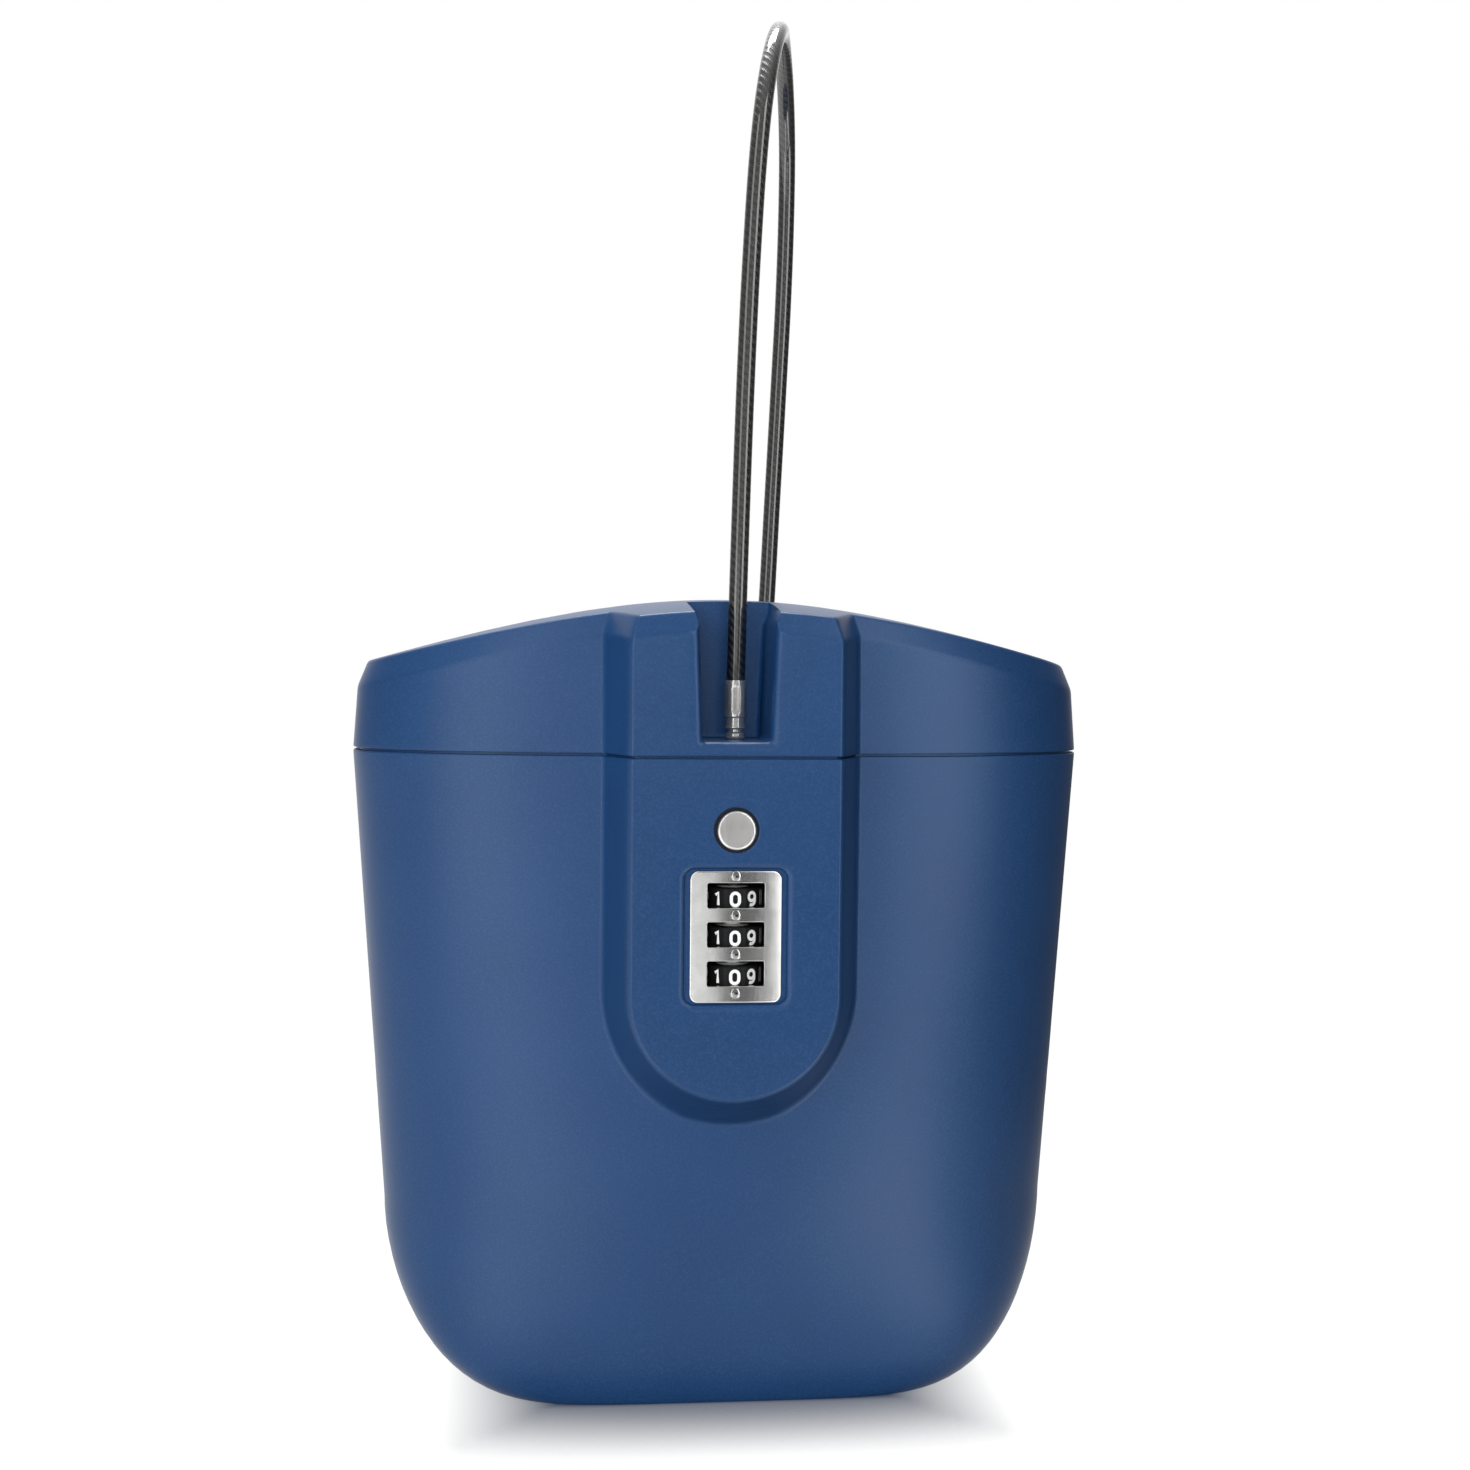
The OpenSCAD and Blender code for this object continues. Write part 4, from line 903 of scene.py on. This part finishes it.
notch = {
    "front": {"x": 0, "half": 8.8, "back": -24, "mouth": pad["front"], "sense": 1},
    "rear": {"x": 16, "half": 8, "back": 26, "mouth": 39, "sense": -1},
    "floor": 178.3, "flare": 1.1, "fillet": 1.2, "leastFillet": 0.6, "mouthZ": 208.2, "run": 1.4, "rise": 4,
    "top": 218, "lip": 1.9,
}


def notchOutline(half, inset):
    fillet = max(notch["leastFillet"], notch["fillet"] - max(0, inset) / 2)
    low = half - inset - fillet
    floor = notch["floor"] + inset + fillet
    high = half + notch["flare"] - inset
    right = []
    for angle in (-90, -72, -54, -36, -18, 0):
        turn = radians(angle)
        right.append((low + fillet * cos(turn), floor + fillet * sin(turn)))
    right.append((high, notch["mouthZ"]))
    right.append((high + notch["run"], notch["mouthZ"] + notch["rise"]))
    right.append((high + notch["run"], notch["top"]))
    return right + [(-x, z) for x, z in reversed(right)]


def notchCutter(values):
    sense = values["sense"]
    lip = notch["lip"]
    fillet = notch["fillet"]
    rows = list(reversed(roundingRows(values["back"], fillet, -sense * fillet, 6)))
    rows += roundingRows(values["mouth"], -lip, sense * lip, 5)
    rows.append((values["mouth"] - sense * 4, -lip))
    rings = [[(values["x"] + x, y, z) for x, z in notchOutline(values["half"], inset)] for y, inset in rows]
    return faceOutwards(addStack("notch", rings))


def lidStrip(spot, foot):
    # From the foot up the wall, over the bevel and in to the middle of the top
    strip = [(*shellPoint(spot, foot + up, inset), foot + up) for up, inset in lid["footRound"]]
    strip += [wallPoint(spot, share, foot, 0) for share in lid["walls"]]
    bend = [wallPoint(spot, share, foot, 0) for share in lid["bendWalls"]]
    bend += [topPoint(spot, share, 0) for share in lid["bendTops"]]
    strip += [tuple(point) for point in soften(bend, lid["bendRound"], 4)]
    return strip + [topPoint(spot, share, 0) for share in lid["tops"]]


def makeCavity():
    wall = body["wall"]
    rebate = body["rebate"]
    rows = ((body["lidFoot"] - 2, body["skirtIn"]), (rebate, body["skirtIn"]), (rebate, wall))
    rings = [flatRing(z, inset) for z, inset in rows]
    rings += [[wallPoint(spot, share, rebate, wall) for spot in outline] for share in lid["innerWalls"]]
    rings += [[topPoint(spot, share, wall) for spot in outline] for share in lid["innerTops"]]
    cavity = addStack("cavity", rings, tip=(0, 0, crestHeight(0, 0) - wall))
    fillings = [addBlock("filling", low, high) for low, high in lid["fillings"]]
    fillings += rods("filling", lid["plugBoss"], [lid["plugSpot"]], 48)
    fillings += rods("filling", lid["boss"], lid["bossSpots"], 40)
    join(cavity, fillings, "DIFFERENCE")
    return cavity


def makeLid():
    strips = [lidStrip(spot, body["lidFoot"]) for spot in outline]
    shell = addStack("lidShell", list(zip(*strips)), tip=(0, 0, crestHeight(0, 0)))
    half = hinge["middle"] / 2
    rootLow = body["lidFoot"] + hinge["rootLift"]
    rootHigh = hinge["z"] + hinge["r"] - hinge["rootShort"]
    knuckles = []
    for x in hinge["spots"]:
        knuckles += makeKnuckle(x, -half, half, rootLow, rootHigh)
    join(shell, knuckles, "UNION")
    join(shell, [makeCavity()], "DIFFERENCE")
    cuts = [notchCutter(notch["front"]), notchCutter(notch["rear"])]
    cuts.append(addTurned("hole", lid["plugHole"], lid["plugSpot"], 48))
    cuts += rods("hole", lid["cableHole"], [lid["cableSpot"]], 48)
    cuts += rods("hole", lid["anchorHole"], lid["anchorSpots"], 32)
    cuts += rods("hole", lid["bossHole"], lid["bossSpots"], 32)
    cuts += rods("bore", hinge["lidBore"], boreSpots, 40, "X")
    join(shell, cuts, "DIFFERENCE")
    shadeSoft(shell, 32)
    dress(shell, "bodyNavy", "lid", "lid_shell")
    return shell


lidShell = makeLid()
print("stage: lid made,", len(lidShell.data.polygons), "faces")

# Dial plate with its windows
dial = {
    "plate": (24, 34.2, 2.3), "back": -51.5, "front": -52.7, "edge": 0.45,
    "window": (14.8, 6.46, 0.5), "windowEdge": 0.2, "windowZ": (138.8, 128.7, 118.6),
    "pipZ": (143.85, 133.75, 123.65, 113.55), "pipR": 1.5, "pipRise": 0.55, "pipFoot": -0.5,
}


def makePlate():
    edge = dial["edge"]
    rows = [(dial["back"], 0)] + roundingRows(dial["front"], -edge, edge, 5)
    plate = addFacing("dialPlate", dial["plate"], lock["plateMiddle"], rows, 8)
    edge = dial["windowEdge"]
    cuts = [facingCutter("window", dial["window"], z, dial["back"] + 2, dial["front"], edge, edge)
            for z in dial["windowZ"]]
    join(plate, cuts, "DIFFERENCE")
    shadeSoft(plate, 32)
    dress(plate, "plateNickel", "tub", "dial_plate")


makePlate()


# Screws and pips: one shape set on many points by Geometry Nodes
def makeScatter():
    tree = bpy.data.node_groups.new("setOnPoints", "GeometryNodeTree")
    kinds = {
        "Points": "Geometry", "Shape": "Object", "Facing": "Vector", "Spin": "Float", "Seed": "Int",
        "Finish": "Material",
    }
    for label, kind in kinds.items():
        tree.interface.new_socket(label, in_out="INPUT", socket_type="NodeSocket" + kind)
    tree.interface.new_socket("Pieces", in_out="OUTPUT", socket_type="NodeSocketGeometry")
    given = addNode(tree, "NodeGroupInput")
    shape = addNode(tree, "GeometryNodeObjectInfo", {"Object": given["Shape"]})["Geometry"]
    limits = {3: given["Spin"], "Seed": given["Seed"]}
    spin = addNode(tree, "FunctionNodeRandomValue", limits, data_type="FLOAT")[1]
    spin = addNode(tree, "ShaderNodeCombineXYZ", {"Z": spin})[0]
    spin = addNode(tree, "FunctionNodeEulerToRotation", {0: spin})[0]
    facing = addNode(tree, "FunctionNodeEulerToRotation", {0: given["Facing"]})[0]
    turned = addNode(tree, "FunctionNodeRotateRotation", {0: spin, 1: facing}, rotation_space="GLOBAL")[0]
    placed = {"Points": given["Points"], "Instance": shape, "Rotation": turned}
    placed = addNode(tree, "GeometryNodeInstanceOnPoints", placed)["Instances"]
    real = addNode(tree, "GeometryNodeRealizeInstances", {"Geometry": placed})["Geometry"]
    finished = {"Geometry": real, "Material": given["Finish"]}
    finished = addNode(tree, "GeometryNodeSetMaterial", finished)["Geometry"]
    addNode(tree, "NodeGroupOutput", {"Pieces": finished})
    return tree


scatterTree = makeScatter()


def setOnPoints(name, spots, shape, facing, spin, seed, finish):
    # Uses the shape up
    obj = addMesh(name, spots, [])
    step = obj.modifiers.new("set", "NODES")
    step.node_group = scatterTree
    values = {"Shape": shape, "Facing": facing, "Spin": spin, "Seed": seed, "Finish": materials[finish]}
    for item in scatterTree.interface.items_tree:
        if item.in_out == "INPUT" and item.name in values:
            step[item.identifier] = values[item.name]
    settle(obj)
    bpy.data.objects.remove(shape)
    return obj


def makePips():
    r = dial["pipR"]
    profile = [(0, dial["pipFoot"]), (r, dial["pipFoot"]), (r, 0)]
    for angle in (15, 30, 45, 60, 75, 90):
        turn = radians(angle)
        profile.append((r * cos(turn), dial["pipRise"] * sin(turn)))
    shape = addTurned("pipShape", profile, (0, 0, 0), 36)
    shadeSoft(shape, 40, False)
    spots = [(0, dial["front"], z) for z in dial["pipZ"]]
    pips = setOnPoints("pips", spots, shape, (pi / 2, 0, 0), 0, 1, "pipSteel")
    dress(pips, None, "tub")


makePips()
towardsBack = (-pi / 2, 0, 0)
towardsFloor = (pi, 0, 0)
screw = {
    "head": [(0, 0), (1.9, 0), (2.4, -0.5), (2.4, -1.5), (1.25, -1.5)],
    "tip": [(1.25, -1.1), (0.85, -1.5), (0, -1.5)],
    "crossLong": 1.25, "crossWide": 0.24, "crossDeep": 0.75, "spin": 3, "round": 0.12,
}
screws = {
    "lugScrews": {
        "shaft": 8.6, "facing": towardsBack, "seed": 4, "rides": "tub", "replaces": "lock_screws",
        "spots": [(x, -35.9, z) for x, y, z in lock["postSpots"]],
    },
    "coverScrews": {
        "shaft": 6.6, "facing": towardsBack, "seed": 9, "rides": "tub", "replaces": None,
        "spots": [(x, -21.9, z) for x in (-13.9, 13.9) for z in (104.2, 166.6)],
    },
    "panelScrews": {
        "shaft": 7, "facing": towardsFloor, "seed": 2, "rides": "lid", "replaces": "lid_panel_screws",
        "spots": [(x, y, 177.5) for x, y, z in lid["bossSpots"]],
    },
    "anchorScrews": {
        "shaft": 4.2, "facing": towardsFloor, "seed": 6, "rides": "lid", "replaces": "anchor_screws",
        "spots": [(x, y, 171.7) for x, y, z in lid["anchorSpots"]],
    },
}


def makeScrewShape(shaft):
    profile = screw["head"] + [(radius, along - shaft) for radius, along in screw["tip"]]
    shape = addTurned("screwShape", flatProfile(profile, screw["round"]), (0, 0, 0), 32)
    long = screw["crossLong"]
    wide = screw["crossWide"]
    deep = screw["crossDeep"]
    bars = [addBlock("bar", (-x, -y, -deep), (x, y, 1)) for x, y in ((long, wide), (wide, long))]
    join(shape, bars, "DIFFERENCE")
    shadeSoft(shape, 32, False)
    return shape


for name, values in screws.items():
    shape = makeScrewShape(values["shaft"])
    placed = (values["spots"], shape, values["facing"], screw["spin"], values["seed"])
    piece = setOnPoints(name, *placed, "bareSteel")
    dress(piece, None, values["rides"], values["replaces"])
print("stage: plate, pips and screws made")

# Number wheels, ten-sided with rounded corners, and their digits
wheel = {
    "r": 7.85, "cornerR": 7.74, "high": 6.4, "rise": 1.6, "y": -43.25, "bore": 4.35, "edge": 0.3,
    "bend": 0.1, "slotHalf": 0.7, "slotDeep": 5, "slotTop": 1, "sides": 160, "step": 36,
    "drop": -1.2, "stroke": 0.45, "raised": 0.06, "names": ("wheel_top", "wheel_middle", "wheel_bottom"),
}


def wheelRadius(turn):
    part = radians(wheel["step"])
    off = (turn + pi / 2 + part / 2) % part - part / 2
    return min(wheel["cornerR"], wheel["r"] * cos(part / 2) / cos(off))


def makeWheel(name, z):
    top = z + wheel["rise"]
    bottom = top - wheel["high"]
    y = wheel["y"]
    edge = wheel["edge"]
    bend = wheel["bend"]
    rows = [(0, edge), (bend, bend), (edge, 0)]
    rows = [(bottom + up, inset) for up, inset in rows] + [(top - up, inset) for up, inset in reversed(rows)]
    rings = []
    for height, inset in rows:
        ring = []
        for turn in turns(wheel["sides"]):
            radius = wheelRadius(turn) - inset
            ring.append((radius * cos(turn), y + radius * sin(turn), height))
        rings.append(ring)
    obj = addStack(name, rings)
    half = wheel["slotHalf"]
    bore = addRod("bore", wheel["bore"], bottom - 2, top + 2, (0, y, 0), 64)
    slot = addBlock("slot", (-half, y, bottom - 2), (half, y + wheel["slotDeep"], top - wheel["slotTop"]))
    join(obj, [bore, slot], "DIFFERENCE")
    shadeSoft(obj, 16)
    return obj


def arc(x, z, wide, high, start, end, steps=10):
    spots = []
    for step in range(steps + 1):
        turn = radians(start + (end - start) * step / steps)
        spots.append((x + wide * cos(turn), z + high * sin(turn)))
    return spots


six = [arc(0.05, 0.5, 1.15, 1.1, 55, 180) + [(-1.1, -0.5)], arc(0, -0.55, 1.1, 1.05, 0, 360, 22)]
digitStrokes = [
    [arc(0, 0.52, 1.1, 1.1, 0, 180) + arc(0, -0.52, 1.1, 1.1, 180, 360) + [(1.1, 0.52)]],
    [[(-0.72, 0.98), (0.12, 1.62), (0.12, -1.62)]],
    [arc(0, 0.55, 1.05, 1.05, 165, -35) + [(-1.05, -1.6), (1.1, -1.6)]],
    [arc(0, 0.8, 1.0, 0.8, 155, -90), arc(0, -0.78, 1.1, 0.84, 90, -155)],
    [[(0.5, -1.62), (0.5, 1.62), (-1.15, -0.6), (1.2, -0.6)]],
    [[(1.0, 1.6), (-0.85, 1.6), (-1.0, 0.15)] + arc(0, -0.52, 1.1, 1.08, 135, -155)],
    six,
    [[(-1.1, 1.6), (1.1, 1.6), (-0.25, -1.62)]],
    [arc(0, 0.82, 0.95, 0.8, 0, 360, 20), arc(0, -0.76, 1.1, 0.86, 0, 360, 22)],
    [[(-x, -z) for x, z in stroke] for stroke in six],
]


def digitForm(strokes):
    data = bpy.data.curves.new("digit", "CURVE")
    data.dimensions = "3D"
    data.bevel_depth = wheel["stroke"]
    data.bevel_resolution = 3
    data.use_fill_caps = True
    for stroke in strokes:
        line = data.splines.new("POLY")
        line.points.add(len(stroke) - 1)
        for point, (x, z) in zip(line.points, stroke):
            point.co = (x, 0, z, 1)
    obj = bpy.data.objects.new("digit", data)
    scene.collection.objects.link(obj)
    mesh = evaluated(obj)
    bpy.data.objects.remove(obj)
    return [tuple(point.co) for point in mesh.vertices], [tuple(face.vertices) for face in mesh.polygons]


digitForms = [digitForm(strokes) for strokes in digitStrokes]


def makeDigits(name, z):
    # The strokes, pressed flat and bent around the wheel
    points = []
    faces = []
    for digit, (spots, shapes) in enumerate(digitForms):
        middle = radians(-90 - wheel["step"] * digit)
        start = len(points)
        for x, y, up in spots:
            turn = middle + x / wheel["r"]
            radius = wheelRadius(turn) + wheel["raised"] * -y / wheel["stroke"]
            height = z + wheel["drop"] + up
            points.append((radius * cos(turn), wheel["y"] + radius * sin(turn), height))
        faces += [tuple(start + corner for corner in shape) for shape in shapes]
    obj = addMesh(name, points, faces)
    shadeSoft(obj, 40, False)
    return obj


for bodyName, z in zip(wheel["names"], dial["windowZ"]):
    tag = bodyName.split("_")[1].capitalize()
    dress(makeWheel("wheel" + tag, z), "wheelBlack", bodyName, "number_" + bodyName)
    dress(makeDigits("digits" + tag, z), "numberWhite", bodyName)
print("stage: wheels and digits made")

# Release button
button = {
    "profile": [
        (0, 46.9), (2.2, 46.9), (2.2, 48.3), (6.0, 48.3), (6.0, 49.5), (5.1, 49.5), (5.1, 53.35),
        (4.75, 53.8), (4.3, 53.9), (2.2, 53.86), (0, 53.84),
    ],
    "round": 0.2,
}
buttonProfile = flatProfile(button["profile"], button["round"])
releaseButton = addTurned("releaseButton", buttonProfile, (0, 0, lock["buttonZ"]), 96, "Y")
shadeSoft(releaseButton, 34)
dress(releaseButton, "satinNickel", "button", "release_button")
print("stage: button made")

# Latch spring, drawn at one length; it rides on the tub, and nothing here shortens it as the button goes in
spring = {
    "start": -30.28, "end": -25.07, "z": 160, "r": 2.2, "wire": 0.3, "turns": 4, "steps": 24, "sides": 10,
    "keep": 0.61,
}


def makeSpring(values):
    r = values["r"]
    wire = values["wire"]
    count = values["turns"] * values["steps"]
    rise = (values["end"] - values["start"] - 2 * wire) / (2 * pi * values["turns"])
    rings = []
    for step in range(count + 1):
        turn = 2 * pi * step / values["steps"]
        outwards = Vector((cos(turn), 0, sin(turn)))
        along = Vector((-r * sin(turn), rise, r * cos(turn))).normalized()
        other = along.cross(outwards)
        centre = Vector((0, values["start"] + wire + rise * turn, values["z"])) + r * outwards
        rings.append(circle(centre, wire, outwards, other, values["sides"]))
    obj = faceOutwards(addStack("latchSpring", rings))
    shadeSoft(obj, 40, False)
    dress(obj, "bareSteel", "tub", "latch_spring")
    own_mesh(obj)


makeSpring(spring)

# Finishes of the solids that stay as they are
keptFinishes = {
    "frameBlack": ("lock_frame", "lock_cover"),
    "castZinc": ("cable_anchor",),
    "hubZinc": ("clutch_sleeve_top", "clutch_sleeve_middle", "clutch_sleeve_bottom"),
    "bareSteel": ("wheel_axle", "detent_spring", "latch", "hinge_pin_left", "hinge_pin_right"),
    "satinNickel": ("plug_socket",),
    "brightNickel": ("rear_ferrule",),
    "sliderRed": ("code_change_slider",),
    "panelNavy": ("lid_panel",),
    "sealRubber": ("lid_gasket", "button_seal"),
}
for finish, names in keptFinishes.items():
    for name in names:
        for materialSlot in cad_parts[name].material_slots:
            materialSlot.material = materials[finish]
print("stage: kept solids finished")

# Studio, in metres: white surround, pale floor that keeps the shadow, dark card and soft lamps
studio = {
    "ambient": 0.33, "ambientRight": 0.14, "behindCamera": 0.42, "mirrorLeft": 0.25, "mirrorRight": 0.1,
    "floorHalf": 3, "floorBounce": 0.35, "floorGlow": 0.98, "floorShown": 0.1, "shadowReach": 0.038,
    "shadowPower": 3.2, "shadowFrom": 0.045, "shadowTo": 0.075, "shadowColour": (0.03, 0.045, 0.085, 1),
    "card": {"y": -0.45, "left": -0.022, "right": 0.145, "foot": 0.001, "top": 0.115, "shade": 0.02},
}
white = (1, 1, 1, 1)


def makeWorld():
    # One white for the eye, one that fades to the right for the light, and one for what mirrors it
    world = bpy.data.worlds.new("studio")
    scene.world = world
    world.use_nodes = True
    tree = world.node_tree
    tree.nodes.clear()
    ray = addNode(tree, "ShaderNodeLightPath")
    place = splitPlace(tree, addNode(tree, "ShaderNodeTexCoord")["Generated"])
    behind = ranged(tree, place["Y"], studio["behindCamera"], 1, -0.75, -0.1)
    right = ranged(tree, place["X"], 1, studio["mirrorRight"], 0.3, 0.85)
    left = ranged(tree, place["X"], studio["mirrorLeft"], 1, -0.85, -0.35)
    mirrored = reckon(tree, "MULTIPLY", behind, reckon(tree, "MULTIPLY", left, right))
    ambient = ranged(tree, place["X"], studio["ambient"], studio["ambientRight"], -0.3, 0.6)
    around, shiny, seen = [
        addNode(tree, "ShaderNodeBackground", {"Color": white, "Strength": strength})[0]
        for strength in (ambient, mirrored, 1)
    ]
    lit = addNode(tree, "ShaderNodeMixShader", {0: ray["Is Glossy Ray"], 1: around, 2: shiny})[0]
    direct = reckon(tree, "MAXIMUM", ray["Is Camera Ray"], ray["Is Transmission Ray"])
    view = addNode(tree, "ShaderNodeMixShader", {0: direct, 1: lit, 2: seen})[0]
    addNode(tree, "ShaderNodeOutputWorld", {"Surface": view})


def addSheet(name, corners, finish):
    # A flat sheet for the studio, its corners in metres
    obj = addMesh(name, [Vector(corner) / mm for corner in corners], [(0, 1, 2, 3)])
    material = bpy.data.materials.new(finish)
    material.use_nodes = True
    material.node_tree.nodes.clear()
    obj.data.materials.append(material)
    return obj, material.node_tree


def makeFloor():
    # White to the eye apart from the shadow close around the base, and darker for the light it throws back
    far = studio["floorHalf"]
    corners = [(-far, -far, 0), (far, -far, 0), (far, far, 0), (-far, far, 0)]
    floor, tree = addSheet("floor", corners, "floorWhite")
    ray = addNode(tree, "ShaderNodeLightPath")
    across = splitPlace(tree, objectPlace(tree))["X"]
    bare = addNode(tree, "ShaderNodeAmbientOcclusion", {"Distance": studio["shadowReach"]})["AO"]
    deep = reckon(tree, "POWER", bare, studio["shadowPower"])
    beside = ranged(tree, reckon(tree, "ABSOLUTE", across), 0, 1, studio["shadowFrom"], studio["shadowTo"])
    shadow = mixColours(tree, reckon(tree, "MAXIMUM", deep, beside), studio["shadowColour"], white)
    leftSide = ranged(tree, across, 1, studio["mirrorRight"], 0.05, 0.35)
    strength = reckon(tree, "MAXIMUM", ray["Is Camera Ray"], leftSide)
    strength = reckon(tree, "MULTIPLY", strength, studio["floorGlow"])
    glow = addNode(tree, "ShaderNodeEmission", {"Color": shadow, "Strength": strength})[0]
    bounced, shown = [
        addNode(tree, "ShaderNodeBsdfDiffuse", {"Color": (share, share, share, 1)})[0]
        for share in (studio["floorBounce"], studio["floorShown"])
    ]
    seen = addNode(tree, "ShaderNodeAddShader", {0: shown, 1: glow})[0]
    direct = reckon(tree, "MAXIMUM", ray["Is Camera Ray"], ray["Is Glossy Ray"])
    direct = reckon(tree, "MAXIMUM", direct, ray["Is Transmission Ray"])
    surface = addNode(tree, "ShaderNodeMixShader", {0: direct, 1: bounced, 2: seen})[0]
    addNode(tree, "ShaderNodeOutputMaterial", {"Surface": surface})


def makeCard(card):
    # A dark card behind the camera, which only shiny surfaces see
    places = ((card["left"], card["foot"]), (card["right"], card["foot"]), (card["right"], card["top"]),
              (card["left"], card["top"]))
    obj, tree = addSheet("darkCard", [(x, card["y"], z) for x, z in places], "cardShade")
    shade = addNode(tree, "ShaderNodeEmission", {"Color": white, "Strength": card["shade"]})[0]
    addNode(tree, "ShaderNodeOutputMaterial", {"Surface": shade})
    obj.visible_camera = False
    obj.visible_diffuse = False
    obj.visible_shadow = False
    obj.visible_transmission = False


def addLamp(name, place, aim, wide, high, power, mirrored=True, diffuse=True, turn=0):
    data = bpy.data.lights.new(name, "AREA")
    data.shape = "RECTANGLE"
    data.size = wide
    data.size_y = high
    data.energy = power
    lamp = bpy.data.objects.new(name, data)
    lamp.visible_camera = False
    lamp.visible_glossy = mirrored
    lamp.visible_diffuse = diffuse
    facing = (Vector(aim) - Vector(place)).to_track_quat("-Z", "Y").to_matrix().to_4x4()
    lamp.matrix_world = Matrix.Translation(place) @ Matrix.Rotation(radians(turn), 4, "Z") @ facing
    scene.collection.objects.link(lamp)


def addFloorStrip(name, x, y, wide, high, power, turn):
    # Lies on the floor and lights only the shine along the body's sides
    addLamp(name, (x, y, 0.003), (x, y, 1), wide, high, power, diffuse=False, turn=turn)


makeWorld()
makeFloor()
makeCard(studio["card"])
addLamp("leftSoftbox", (-0.33, -0.42, 0.425), (-0.03, 0, 0.425), 0.2, 0.84, 1.05)
addLamp("rightSoftbox", (0.33, -0.42, 0.425), (0.03, 0, 0.425), 0.2, 0.84, 1.7, diffuse=False)
addLamp("overhead", (0, 0.3, 1.1), (0, 0, 0.15), 0.5, 0.3, 7)
addLamp("leftFill", (-1.1, -0.4, 0.5), (0, 0, 0.15), 0.6, 0.9, 2, mirrored=False)
addLamp("frontFill", (-0.2, -1.28, 0.5), (0, 0, 0.15), 0.8, 0.6, 7, mirrored=False)
addLamp("lowFill", (-0.1, -1.3, 0.29), (0, 0, 0.15), 0.5, 0.2, 2.8, mirrored=False)
addFloorStrip("leftFloorStrip", -0.165, -0.275, 0.11, 0.36, 0.17, -25)
addFloorStrip("rightFloorStrip", 0.175, -0.26, 0.09, 0.36, 0.24, 34)
scene.view_settings.view_transform = "Standard"
print("stage: studio made")
